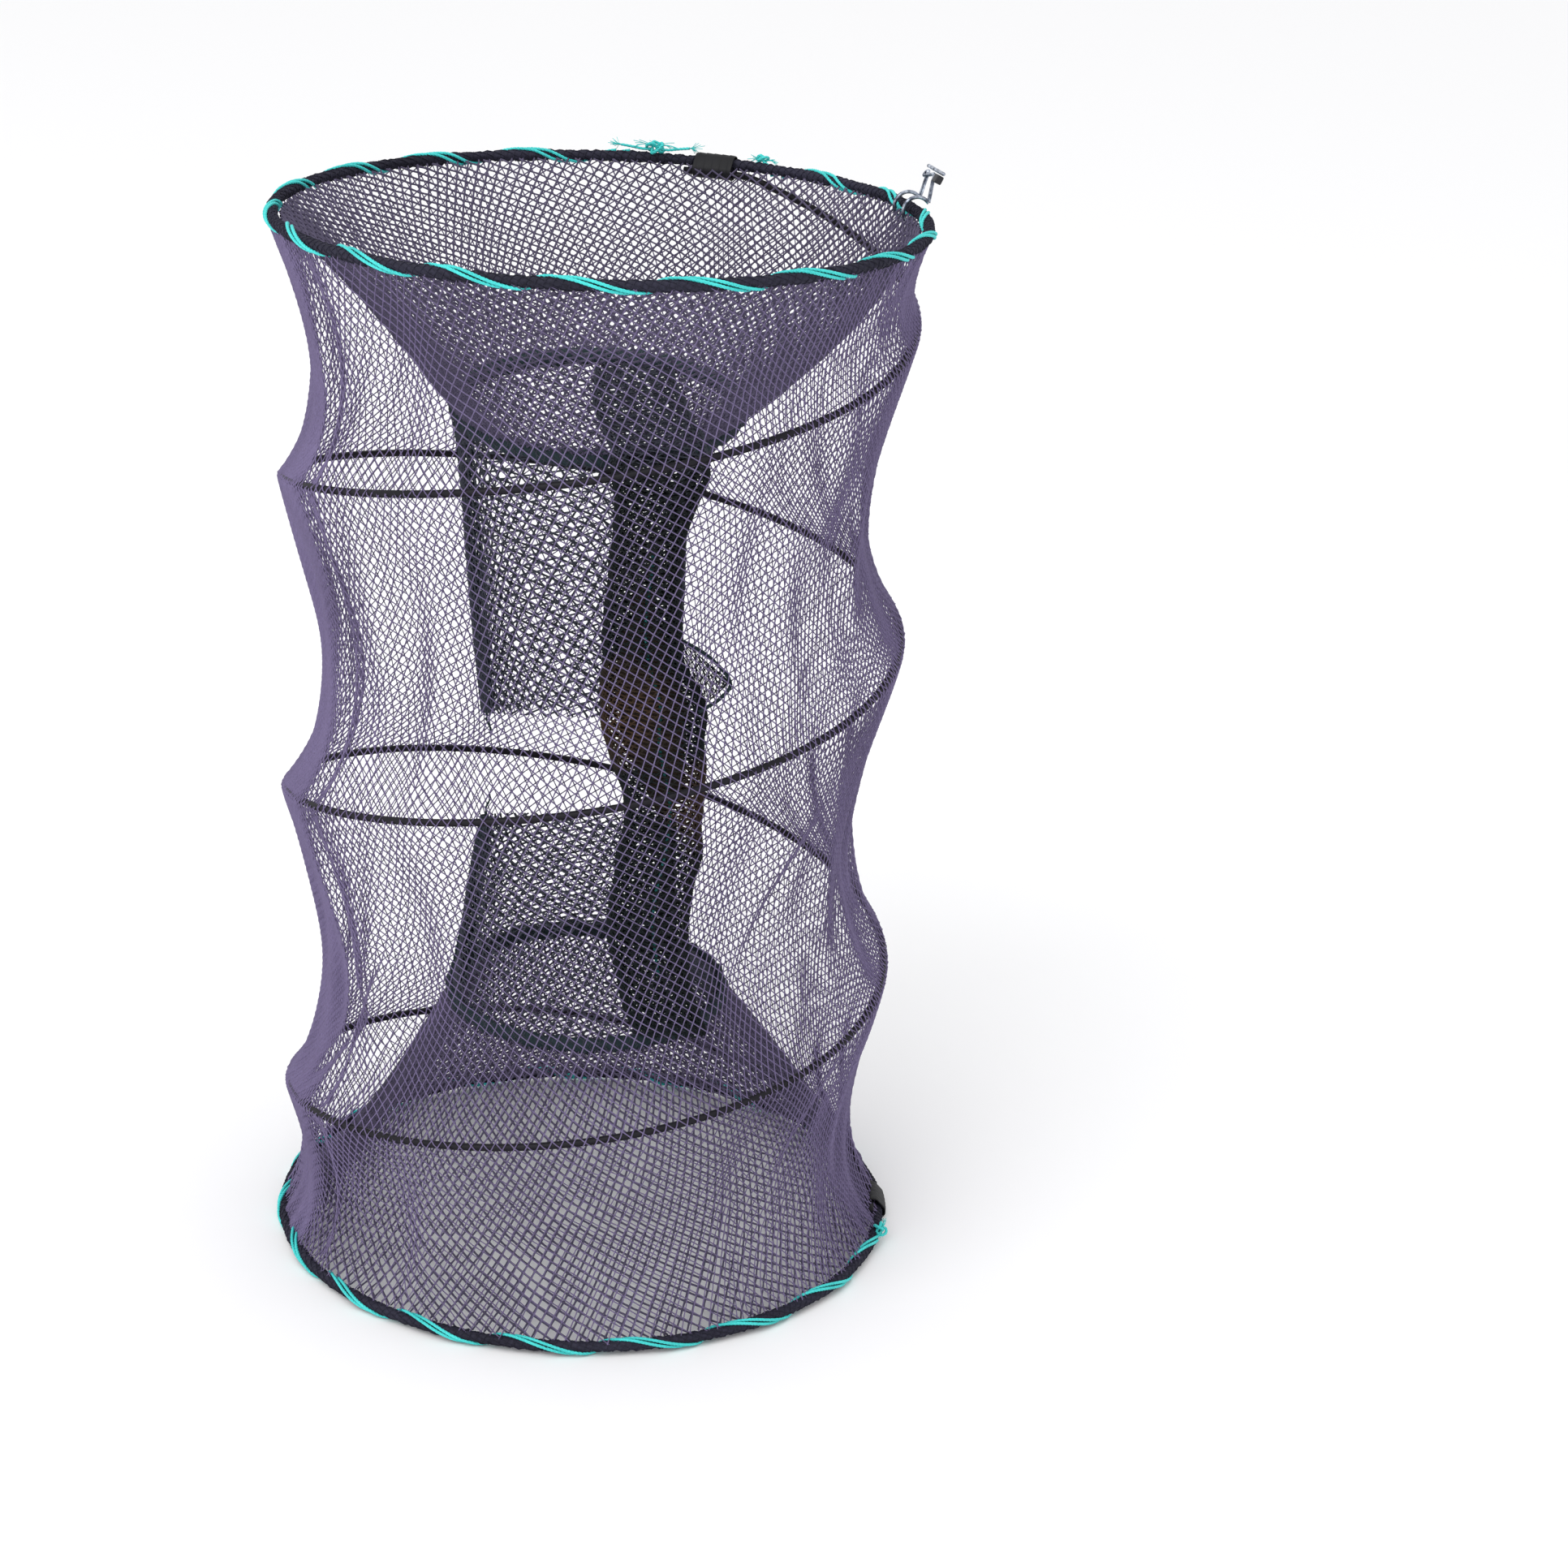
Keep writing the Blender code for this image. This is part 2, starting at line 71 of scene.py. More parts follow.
# Places read from the frame
WIRE = 0.00175
ring_low, ring_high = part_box("bottom_ring")
top_low, top_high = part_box("top_ring")
RING_RADIUS = (ring_high.x - ring_low.x) / 2 - WIRE
BOTTOM = (ring_low.z + ring_high.z) / 2
TOP = (top_low.z + top_high.z) / 2
SPACING = TOP - BOTTOM

# The coil spring's route, as turns in degrees against height above the bottom ring
COIL_RADIUS = 0.1443
COIL_END = 0.0043
COIL_MARKS = [-7.0, 7.0, 180.0, 360.0, 540.0, 720.0, 900.0, 1080.0, 1141.0, 1155.0]
COIL_HEIGHTS = [COIL_END, COIL_END, 0.069, 0.137, 0.222, 0.304, 0.373, 0.453]
COIL_HEIGHTS += [SPACING - COIL_END] * 2

# Net sizes: lean of the two families of strands, and half the width and thickness of a strand
STEEP = math.radians(65.0)
SHALLOW = math.radians(30.0)
STRAND_SIDE = 0.00027
STRAND_RISE = 0.00034
# Distance between the strands of each family round the net, in cells
STEEP_SPACING = 1.13
SHALLOW_SPACING = 1.86
# How far a strand passes over or under another, and how much thicker it is there
WEAVE_LIFT = 0.00014
CROSSING_SWELL = 1.25

# The body that each end's ring rides on, and the height of the ring
END_BODY = {"top": "top", "bottom": "base"}
RING_HEIGHT = {"top": TOP, "bottom": BOTTOM}


# Meshes from arrays

def placed(name, data):
    """A new object in the scene."""
    obj = bpy.data.objects.new(name, data)
    bpy.context.scene.collection.objects.link(obj)
    return obj


def mesh_piece(name, points, faces, made_of):
    """A smooth object from an array of points and an array of four-cornered faces."""
    mesh = bpy.data.meshes.new(name)
    mesh.vertices.add(len(points))
    mesh.vertices.foreach_set("co", np.asarray(points, np.float32).ravel())
    mesh.loops.add(faces.size)
    mesh.loops.foreach_set("vertex_index", np.asarray(faces, np.int32).ravel())
    mesh.polygons.add(len(faces))
    mesh.polygons.foreach_set("loop_start", np.arange(0, faces.size, 4, dtype=np.int32))
    mesh.polygons.foreach_set("use_smooth", np.full(len(faces), True))
    mesh.update(calc_edges=True)
    mesh.materials.append(made_of)
    return placed(name, mesh)


def tube_faces(rings, sides, closed=False):
    """Faces between consecutive rings of points."""
    count = rings if closed else rings - 1
    ring, side = np.meshgrid(np.arange(count), np.arange(sides), indexing="ij")
    after = (side + 1) % sides
    following = (ring + 1) % rings
    corners = (ring * sides + side, ring * sides + after)
    corners += (following * sides + after, following * sides + side)
    return np.stack([c.ravel() for c in corners], 1)


def closed_roll(name, place, width, height, counts, made_of):
    """A closed roll: place(round, up) gives points, counts are the steps round and up."""
    around, up = np.meshgrid(
        np.linspace(0, width, counts[0], endpoint=False), np.linspace(0, height, counts[1], endpoint=False),
        indexing="ij",
    )
    points = place(around.ravel(), up.ravel())
    return mesh_piece(name, points, tube_faces(*counts, closed=True)[:, ::-1], made_of)


def end_caps(rings, sides):
    """Faces that close both ends of a tube with an even number of sides."""
    k = np.arange(sides // 2 - 1)
    first = np.stack([sides - 1 - k, sides - 2 - k, k + 1, k], 1)
    last = np.stack([k, k + 1, sides - 2 - k, sides - 1 - k], 1) + (rings - 1) * sides
    return np.concatenate([first, last])


def unit(vectors):
    """The vectors at length 1."""
    return vectors / np.linalg.norm(vectors, axis=-1, keepdims=True)


def crossways(route):
    """Two directions across a route at each of its points, which don't twist along it."""
    tangent = unit(np.gradient(route, axis=0))
    across = np.empty_like(route)
    upright = abs(tangent[0, 2]) >= 0.9
    current = np.array([1.0, 0.0, 0.0]) if upright else np.array([0.0, 0.0, 1.0])
    for k in range(len(route)):
        current = current - tangent[k] * np.dot(current, tangent[k])
        current = current / np.linalg.norm(current)
        across[k] = current
    return across, np.cross(tangent, across)


def tube(route, radius, sides):
    """Points and faces of a round tube along a route; radius is one number or one for each point."""
    route = np.asarray(route, float)
    radius = np.broadcast_to(np.asarray(radius, float), len(route))
    across, aside = crossways(route)
    turn = np.linspace(0.0, math.tau, sides, endpoint=False)
    offset = across[:, None] * np.cos(turn)[None, :, None] + aside[:, None] * np.sin(turn)[None, :, None]
    points = route[:, None] + offset * radius[:, None, None]
    faces = np.concatenate([tube_faces(len(route), sides), end_caps(len(route), sides)])
    return points.reshape(-1, 3), faces


def joined(parts):
    """Several (points, faces) as one."""
    points, faces, base = [], [], 0
    for these_points, these_faces in parts:
        points.append(these_points)
        faces.append(these_faces + base)
        base += len(these_points)
    return np.concatenate(points), np.concatenate(faces)


# Nets

def strand_rings(width, height, count, crossing_count, way):
    """Flat places along each strand of one family, and how many: round, up, thickness, side it passes on."""
    cot_steep, cot_shallow = 1 / math.tan(STEEP), 1 / math.tan(SHALLOW)
    total = cot_steep + cot_shallow
    slope = cot_steep if way > 0 else -cot_shallow
    pitch = width / crossing_count
    step = pitch / total
    places, lengths = [], []
    for k in range(count):
        start = k * width / count
        first = (way * -start) % pitch / total
        index = round((start + way * first * total) / pitch)
        nodes = np.arange(first, height, step)
        numbers = index + way * np.arange(len(nodes))
        middles = np.arange(first - step / 2, height, step)
        up = np.concatenate([[0.0], nodes, middles[middles > 0], [height]])
        plain = np.ones((middles > 0).sum())
        size = np.concatenate([[1.0], np.full(len(nodes), CROSSING_SWELL), plain, [1.0]])
        over = np.where((numbers + k) % 2 == 0, 1.0, -1.0) * way
        side = np.concatenate([[0.0], over, plain * 0.0, [0.0]])
        order = np.argsort(up)
        keep = np.concatenate([[True], np.diff(up[order]) > step * 0.05])
        order = order[keep]
        up = up[order]
        places.append(np.stack([start + slope * up, up, size[order], side[order]], 1))
        lengths.append(len(up))
    return places, lengths


def net(name, place, width, height, made_of, cell, panels=1, thick=1.0, sealed=False):
    """Strands over a surface: place(round, up) gives points. Returns one object for each panel.

    A sealed net has closed strand ends.
    """
    weave = WEAVE_LIFT * thick
    many = 2 * round(width / (cell * STEEP_SPACING) / 2)
    few = 2 * round(width / (cell * SHALLOW_SPACING) / 2)
    rings, ends = [], []
    for count, crossings, way in ((many, few, 1), (few, many, -1)):
        places, lengths = strand_rings(width, height, count, crossings, way)
        slope = 1 / math.tan(STEEP) if way > 0 else -1 / math.tan(SHALLOW)
        for these in places:
            rings.append(np.column_stack([these, np.full(len(these), slope)]))
        ends += lengths
    flat = np.concatenate(rings)
    around, up, size, side, slope = flat.T
    centre = place(around, up)
    small = 0.0004
    along_round = place(around + small, up) - place(around - small, up)
    along_up = place(around, up + small) - place(around, up - small)
    normal = unit(np.cross(along_round, along_up))
    heading = unit(along_round * slope[:, None] + along_up)
    aside = np.cross(heading, normal)
    centre = centre + normal * (side * weave)[:, None]
    turn = np.linspace(0.0, math.tau, 4, endpoint=False)
    reach = size * thick
    offset = aside[:, None] * np.cos(turn)[None, :, None] * STRAND_SIDE
    offset = offset + normal[:, None] * np.sin(turn)[None, :, None] * STRAND_RISE
    points = (centre[:, None] + offset * reach[:, None, None]).reshape(-1, 3)
    last = np.cumsum(ends) - 1
    ring = np.setdiff1d(np.arange(len(flat)), last)
    middle = (around[ring] + around[ring + 1]) / 2 % width
    corners = []
    for k in range(4):
        after = (k + 1) % 4
        here, there = ring * 4, ring * 4 + 4
        corners.append(np.stack([here + after, here + k, there + k, there + after], 1))
    faces = np.stack(corners, 1)
    made = []
    for panel in range(panels):
        inside = (middle >= panel * width / panels) & (middle < (panel + 1) * width / panels)
        mine = faces[inside].reshape(-1, 4)
        if sealed:
            first = last + 1 - np.array(ends)
            tips = [first[:, None] * 4 + np.arange(4), last[:, None] * 4 + np.arange(4)[::-1]]
            mine = np.concatenate([mine, *tips])
        used, numbers = np.unique(mine, return_inverse=True)
        label = name if panels == 1 else f"{name}_{panel + 1}"
        made.append(mesh_piece(label, points[used], numbers.reshape(-1, 4), made_of))
    return made


# Materials

def principled(name, colour, roughness, metallic=0.0):
    """A plain material, its node tree and its shader."""
    made = bpy.data.materials.new(name)
    made.use_nodes = True
    shader = made.node_tree.nodes["Principled BSDF"]
    shader.inputs["Base Color"].default_value = (*colour, 1.0)
    shader.inputs["Roughness"].default_value = roughness
    shader.inputs["Metallic"].default_value = metallic
    return made, made.node_tree, shader


def added(tree, kind, inputs):
    """A shader node with some of its inputs set, by name or by number."""
    made = tree.nodes.new(f"ShaderNode{kind}")
    for which, value in inputs.items():
        made.inputs[which].default_value = value
    return made


def two_colours(tree, low, dark, high, light):
    """A ramp from a dark colour at one level to a light colour at another."""
    ramp = tree.nodes.new("ShaderNodeValToRGB")
    for stop, level, colour in zip(ramp.color_ramp.elements, (low, high), (dark, light)):
        stop.position = level
        stop.color = (*colour, 1.0)
    return ramp


def fibre(name, dark, light, roughness=0.7, scale=900.0, patch=14.0, bump=0.25, shine=0.4):
    """Fine twisted fibre: patches of two colours, with filaments in its roughness and bump."""
    made, tree, shader = principled(name, dark, roughness)
    shader.inputs["Specular IOR Level"].default_value = shine
    link = tree.links.new
    where = tree.nodes.new("ShaderNodeTexCoord")
    patches = added(tree, "TexNoise", {"Scale": patch, "Detail": 6.0})
    fine = added(tree, "TexNoise", {"Scale": scale, "Detail": 3.0})
    both = added(tree, "Math", {1: 0.55})
    both.operation = "MULTIPLY_ADD"
    halved = added(tree, "Math", {1: 0.45})
    halved.operation = "MULTIPLY"
    ramp = two_colours(tree, 0.30, dark, 0.78, light)
    rough = added(tree, "MapRange", {"To Min": roughness - 0.12, "To Max": min(roughness + 0.15, 1.0)})
    lift = added(tree, "Bump", {"Strength": bump, "Distance": 0.0002})
    link(where.outputs["Object"], patches.inputs["Vector"])
    link(where.outputs["Object"], fine.inputs["Vector"])
    link(fine.outputs["Fac"], both.inputs[0])
    link(patches.outputs["Fac"], halved.inputs[0])
    link(halved.outputs[0], both.inputs[2])
    link(both.outputs[0], ramp.inputs["Fac"])
    link(ramp.outputs["Color"], shader.inputs["Base Color"])
    link(fine.outputs["Fac"], rough.inputs["Value"])
    link(rough.outputs["Result"], shader.inputs["Roughness"])
    link(fine.outputs["Fac"], lift.inputs["Height"])
    link(lift.outputs["Normal"], shader.inputs["Normal"])
    return made


NET = fibre("purple_grey_net", (0.094, 0.073, 0.148), (0.208, 0.168, 0.318))
FUNNEL_NET = fibre("grey_funnel_net", (0.048, 0.040, 0.078), (0.122, 0.103, 0.180))
THROAT_NET = fibre("dark_throat_net", (0.018, 0.022, 0.032), (0.076, 0.080, 0.110), shine=0.3)
SEAM_NET = fibre("teal_black_seam", (0.008, 0.018, 0.022), (0.030, 0.050, 0.058), shine=0.2)
BAIT_NET = fibre("dark_bait_net", (0.004, 0.010, 0.012), (0.024, 0.024, 0.024), shine=0.12)
BAG_CLOTH = fibre("brown_bait_bag", (0.014, 0.010, 0.008), (0.070, 0.042, 0.025), patch=40.0)
HEM_NET = fibre("navy_hem_net", (0.006, 0.006, 0.012), (0.040, 0.038, 0.066), shine=0.2)
TWINE = fibre("turquoise_twine", (0.022, 0.440, 0.430), (0.090, 0.860, 0.820), 0.5, 1500.0, 60.0, 0.4)
TEAL_TWINE = fibre("teal_twine", (0.010, 0.110, 0.110), (0.035, 0.260, 0.250), 0.6, 1500.0, 60.0, 0.4)
STEEL = fibre("black_coated_steel", (0.004, 0.004, 0.006), (0.012, 0.010, 0.015), 0.5, 700.0, 30.0, 0.08,
              shine=0.2)
TAPE = fibre("black_tape", (0.004, 0.004, 0.005), (0.012, 0.012, 0.016), 0.55, 500.0, 80.0, 0.15,
             shine=0.25)
PLASTIC = fibre("black_plastic", (0.006, 0.006, 0.010), (0.020, 0.020, 0.028), 0.4, 300.0, 60.0, 0.1)


def bright_wire():
    """Bent metal wire with dull patches, darker and rougher than the bright metal round them."""
    made, tree, shader = principled("bright_wire", (0.42, 0.46, 0.56), 0.3, 1.0)
    link = tree.links.new
    where = tree.nodes.new("ShaderNodeTexCoord")
    noise = added(tree, "TexNoise", {"Scale": 350.0, "Detail": 5.0})
    ramp = two_colours(tree, 0.38, (0.10, 0.11, 0.15), 0.62, (0.55, 0.60, 0.70))
    rough = added(tree, "MapRange", {"To Min": 0.45, "To Max": 0.18})
    link(where.outputs["Object"], noise.inputs["Vector"])
    link(noise.outputs["Fac"], ramp.inputs["Fac"])
    link(ramp.outputs["Color"], shader.inputs["Base Color"])
    link(noise.outputs["Fac"], rough.inputs["Value"])
    link(rough.outputs["Result"], shader.inputs["Roughness"])
    return made


BRIGHT = bright_wire()
# How far a stain's edge wanders
STAIN_RAGGED = 0.03


def stain(made, colour, place, near, far):
    """Tints a material round a place on its piece, with a ragged edge."""
    tree = made.node_tree
    link = tree.links.new
    shader = tree.nodes["Principled BSDF"]
    before = shader.inputs["Base Color"].links[0].from_socket
    where = tree.nodes.new("ShaderNodeTexCoord")
    away = tree.nodes.new("ShaderNodeVectorMath")
    away.operation = "DISTANCE"
    away.inputs[1].default_value = place
    ragged = added(tree, "TexNoise", {"Scale": 70.0})
    reach = added(tree, "Math", {1: STAIN_RAGGED})
    reach.operation = "MULTIPLY_ADD"
    start, finish = near + STAIN_RAGGED / 2, far + STAIN_RAGGED / 2
    share = added(tree, "MapRange", {"From Min": start, "From Max": finish, "To Min": 0.85, "To Max": 0.0})
    mixed = tree.nodes.new("ShaderNodeMix")
    mixed.data_type = "RGBA"
    mixed.inputs["B"].default_value = (*colour, 1.0)
    link(where.outputs["Object"], away.inputs[0])
    link(where.outputs["Object"], ragged.inputs["Vector"])
    link(ragged.outputs["Fac"], reach.inputs[0])
    link(away.outputs["Value"], reach.inputs[2])
    link(reach.outputs[0], share.inputs["Value"])
    link(share.outputs["Result"], mixed.inputs["Factor"])
    link(before, mixed.inputs["A"])
    link(mixed.outputs["Result"], shader.inputs["Base Color"])


# Bait has stained its net where the pouch bulges and below it
stain(BAIT_NET, (0.070, 0.040, 0.022), (0.012, -0.040, 0.272), 0.010, 0.034)
stain(BAIT_NET, (0.050, 0.032, 0.022), (0.050, -0.030, 0.228), 0.006, 0.024)


# How pieces follow the frame

def hold(piece, body, slot, *nodes, folds=False):
    """The piece rides on a body and stands for CAD nodes, which are hidden; a piece that folds gets its own
    copy of its mesh.
    """
    if nodes:
        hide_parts(*nodes)
    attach(piece, body)
    if folds:
        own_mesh(piece)
    return piece


# The coil spring

def coil_height(turn):
    """Height above the bottom ring at a turn in degrees, rounded off where the pitch changes."""
    turn = np.asarray(turn, float)
    reach = np.clip(np.minimum(turn - COIL_MARKS[1], COIL_MARKS[-2] - turn), 0.0, 45.0)
    total = np.zeros_like(turn)
    steps = np.linspace(-1.0, 1.0, 21)
    for step in steps:
        total = total + np.interp(turn + step * reach, COIL_MARKS, COIL_HEIGHTS)
    return total / len(steps)


def coil():
    """The spring's wire, with a point every 1.5 degrees."""
    turns = np.arange(COIL_MARKS[0], COIL_MARKS[-1] + 0.1, 1.5)
    angle = np.radians(turns)
    x, y = COIL_RADIUS * np.cos(angle), COIL_RADIUS * np.sin(angle)
    route = np.stack([x, y, BOTTOM + coil_height(turns)], 1)
    points, faces = tube(route, WIRE, 12)
    return mesh_piece("coil_wire", points, faces, STEEL)


coil_wire = hold(coil(), "base", "steel_wire", "coil_spring", folds=True)
for node in ("bottom_ring", "top_ring"):
    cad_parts[node].data.materials.clear()
    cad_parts[node].data.materials.append(STEEL)


# The sleeve

SLEEVE_FOOT = BOTTOM + 0.0010
SLEEVE_HEIGHT = SPACING - 0.0020
SLEEVE_CELL = 0.0044
AT_RING = 0.1494
AT_COIL = COIL_RADIUS + WIRE + 0.0006
SAG_SHARE = 0.125
SAG_POWER = 1.35
# Puts the waist of each span below its middle
WAIST_POWER = 0.74
# Spans between passes of the coil are rippled and pleated in full from this height up
LONG_SPAN = 0.1
RIPPLE = 0.0022
# Pucker that the lacing makes close to a ring, and how far from the ring it fades
PUCKER = 0.0009
PUCKER_FADE = 0.012
CREASE_FADE = 0.03
# Upright pleats, and broad bands of spare net: azimuth, half width in degrees, depth at the middle of a long
# span, spare net
PLEATS_AND_SHADE_BANDS = (
    (194.0, 10.0, 0.003, 3.0),
    (209.0, 2.2, 0.006, 0.9),
    (-11.0, 7.0, 0.003, 1.1),
    # These two bands have no depth: their spare net makes the sleeve denser and darker on its right side,
    # front and back, partly for its folds and partly as painted shade
    (-38.0, 20.0, 0.000, 0.70),
    (36.0, 20.0, 0.000, 0.50),
    (62.0, 5.0, 0.008, 0.5),
    (118.0, 6.0, 0.010, 0.6),
    (232.0, 5.0, 0.005, 0.3),
    (303.0, 5.0, 0.005, 0.3),
)
# Creases that run aslant: azimuth and height of both ends, half width in metres, depth
CREASES = (
    (196.0, 0.075, 226.0, 0.185, 0.0045, 0.0045),
    (206.0, 0.060, 240.0, 0.165, 0.0040, 0.0035),
    (300.0, 0.150, 322.0, 0.245, 0.0050, 0.0035),
    (250.0, 0.390, 222.0, 0.330, 0.0045, 0.0025),
    (310.0, 0.060, 335.0, 0.150, 0.0045, 0.0035),
)


def pleat(azimuth, middle, half_width):
    """How far into a pleat an azimuth in degrees lies: 1 at its middle, 0 away from it."""
    away = (azimuth - middle + 180.0) % 360.0 - 180.0
    return np.exp(-(away / half_width) ** 2)


# The flat net's width at each azimuth: the spare net of the pleats lies close round them.
ROUND_DEGREES = np.linspace(0.0, 360.0, 2881)
spare = sum(extra * pleat(ROUND_DEGREES, middle, half) for middle, half, _, extra in PLEATS_AND_SHADE_BANDS)
steps = (1.0 + (spare[1:] + spare[:-1]) / 2) * math.radians(ROUND_DEGREES[1]) * AT_COIL
ROUND_WIDTH = np.concatenate([[0.0], np.cumsum(steps)])
SLEEVE_WIDTH = float(ROUND_WIDTH[-1])


def supports(azimuth):
    """Heights of the ring, each pass of the coil and the other ring at each azimuth."""
    degrees = np.degrees(azimuth) % 360.0
    heights = [np.full_like(degrees, BOTTOM)]
    for lap in range(4):
        turn = degrees + 360.0 * lap
        level = BOTTOM + coil_height(np.minimum(turn, COIL_MARKS[-1]))
        heights.append(np.where(turn > COIL_MARKS[-1], TOP, level))
    heights.append(np.full_like(degrees, TOP))
    return np.stack(heights)


def crease_depth(crease, degrees, height):
    """How deep a slanting crease is at an azimuth and a height above the bottom ring."""
    from_az, from_z, to_az, to_z, half, deep = crease
    run = math.radians(to_az - from_az) * AT_COIL
    rise = to_z - from_z
    length = math.hypot(run, rise)
    along_az = np.radians((degrees - from_az + 180.0) % 360.0 - 180.0) * AT_COIL
    along = (along_az * run + (height - from_z) * rise) / length
    off = (along_az * rise - (height - from_z) * run) / length
    ends = np.clip(np.minimum(along, length - along) / CREASE_FADE, 0.0, 1.0)
    return deep * np.exp(-(off / half) ** 2) * ends


def sleeve_place(around, up):
    """Net stretched between the rings and the coil, drawn in between them, with pleats and creases."""
    degrees = np.interp(around % SLEEVE_WIDTH, ROUND_WIDTH, ROUND_DEGREES)
    azimuth = np.radians(degrees)
    z = SLEEVE_FOOT + up
    levels = supports(azimuth)
    below = np.where(levels <= z, levels, -1.0)
    above = np.where(levels > z, levels, 9.0)
    low = np.maximum(below.max(0), BOTTOM)
    high = np.minimum(above.min(0), TOP)
    span = np.maximum(high - low, 0.001)
    share = np.clip((z - low) / span, 0.0, 1.0)
    lower = share ** WAIST_POWER
    low_radius = np.where(low < BOTTOM + 0.003, AT_RING, AT_COIL)
    high_radius = np.where(high > TOP - 0.003, AT_RING, AT_COIL)
    sag = (4 * lower * (1 - lower)) ** SAG_POWER
    depth = SAG_SHARE * span
    fold_wave = 0.5 * np.sin(9 * azimuth + 31 * z) + 0.35 * np.sin(17 * azimuth - 47 * z + 1.3)
    fold_wave = fold_wave + 0.25 * np.sin(29 * azimuth + 22 * z + 0.4)
    radius = low_radius + (high_radius - low_radius) * share - depth * sag
    long_span = np.clip(span / LONG_SPAN, 0.0, 1.4)
    radius = radius + RIPPLE * fold_wave * sag * long_span
    for middle, half, deep, _ in PLEATS_AND_SHADE_BANDS:
        radius = radius - deep * pleat(degrees, middle, half) * np.sqrt(sag) * np.clip(long_span, 0.0, 1.0)
    for crease in CREASES:
        radius = radius - crease_depth(crease, degrees, z - BOTTOM) * np.sqrt(sag)
    near = np.exp(-np.minimum(z - BOTTOM, TOP - z) / PUCKER_FADE)
    radius = radius + PUCKER * near * np.sin(54 * azimuth)
    return np.stack([radius * np.cos(azimuth), radius * np.sin(azimuth), z], 1)


sleeve = net("sleeve_net_panel", sleeve_place, SLEEVE_WIDTH, SLEEVE_HEIGHT, NET, SLEEVE_CELL, panels=8)
for panel in sleeve:
    hold(panel, "base", "sleeve_net", folds=True)
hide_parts("sleeve_net")


# Funnels and throats

NECK_HALF = (0.066, 0.048)
SLIT_HALF = (0.052, 0.0045)
# How far in the bait sleeve draws a throat's right side, and how soon
DRAWN_HALF = 0.041
DRAWN_BY = 0.36
MOUTH = 0.1440
# How much higher the back of each neck lies than its front
NECK_LIFT = {"top": 0.024, "bottom": 0.020}
FUNNEL_CELL = 0.0043
# Flat nets: a funnel's width and slope, and a throat's width
FUNNEL_FLAT = (0.78, 0.136)
THROAT_ROUND = 0.36
FUNNELS = {
    # ring height, way in, depth of the funnel, length of the throat
    "top": (TOP, -1.0, 0.100, 0.138),
    "bottom": (BOTTOM, 1.0, 0.106, 0.098),
}


def neck_lift(end, azimuth):
    """How much higher than its front the neck lies at an azimuth."""
    return NECK_LIFT[end] * (0.5 + 0.5 * np.sin(azimuth))


def funnel_place(end, around_width, depth):
    """A funnel that hangs slack between its ring and its neck, most of all on its right side."""
    ring_z, way, reach, _ = FUNNELS[end]

    def place(around, up):
        azimuth = around / around_width * math.tau
        share = np.clip(up / depth, 0.0, 1.0)
        bow = share ** 0.88
        cos, sin = np.cos(azimuth), np.sin(azimuth)
        wide = MOUTH + (NECK_HALF[0] - MOUTH) * bow
        deep = MOUTH + (NECK_HALF[1] - MOUTH) * bow
        sag = 4 * share * (1 - share)
        right = 0.5 + 0.5 * np.cos(azimuth + 0.4)
        belly = 1.0 + sag * (0.085 * right - 0.035 * (1 - right))
        ripple = 0.6 * np.sin(11 * azimuth + 2.0 * share) + 0.4 * np.sin(19 * azimuth + 0.8)
        belly = belly + 0.010 * ripple * sag
        z = ring_z + way * (0.001 + (reach - 0.001) * share + 0.004 * sag * right)
        z = z + neck_lift(end, azimuth) * share ** 1.4
        return np.stack([wide * belly * cos, deep * belly * sin, z], 1)

    return place


def throat_side(share):
    """Where the left and the right side of a throat lie, from its neck to its slit."""
    left = NECK_HALF[0] + (SLIT_HALF[0] - NECK_HALF[0]) * share
    drawn = np.clip(share / DRAWN_BY, 0.0, 1.0)
    drawn = drawn * (2 - drawn)
    return -left, NECK_HALF[0] + (DRAWN_HALF - NECK_HALF[0]) * drawn


def throat_place(end, around_width, length):
    """A throat that closes from its oval neck to a flat slit, with its net gathered at the sides."""
    ring_z, way, reach, _ = FUNNELS[end]

    def place(around, up):
        phase = around / around_width * math.tau
        azimuth = phase - 0.32 * np.sin(2 * phase)
        share = np.clip(up / length, 0.0, 1.0)
        cos, sin = np.cos(azimuth), np.sin(azimuth)
        left, right = throat_side(share)
        wide = np.where(cos < 0, -left, right)
        deep = NECK_HALF[1] + (SLIT_HALF[1] - NECK_HALF[1]) * share ** 0.8
        ripple = 1.0 + 0.018 * np.sin(13 * azimuth + 5 * share) * np.sin(math.pi * share)
        z = ring_z + way * (reach + 0.0012 + up) + neck_lift(end, azimuth) * (1 - share)
        return np.stack([wide * ripple * cos, deep * ripple * sin, z], 1)

    return place


def funnels():
    """Both funnels, each with its throat."""
    for end in FUNNELS:
        throat_flat = (THROAT_ROUND, FUNNELS[end][3])
        funnel = net(f"{end}_funnel_net", funnel_place(end, *FUNNEL_FLAT), *FUNNEL_FLAT, FUNNEL_NET,
                     FUNNEL_CELL, thick=1.7)
        throat = net(f"{end}_throat_net", throat_place(end, *throat_flat), *throat_flat, THROAT_NET,
                     FUNNEL_CELL, thick=1.72)
        for part, made, flat in (("funnel", funnel, FUNNEL_FLAT), ("throat", throat, throat_flat)):
            hold(made[0], END_BODY[end], "funnel_net", f"{end}_{part}", folds=True)


funnels()


# Hems: the net bunched round each ring

HEM_RADIUS = 0.0023
HEM_CELL = 0.0032
# Steps round the ring and round the hem's section
HEM_STEPS = (900, 18)


def directions(azimuth):
    """Outwards and along the ring, at an azimuth in radians."""
    cos, sin = math.cos(azimuth), math.sin(azimuth)
    return np.array([cos, sin, 0.0]), np.array([-sin, cos, 0.0])


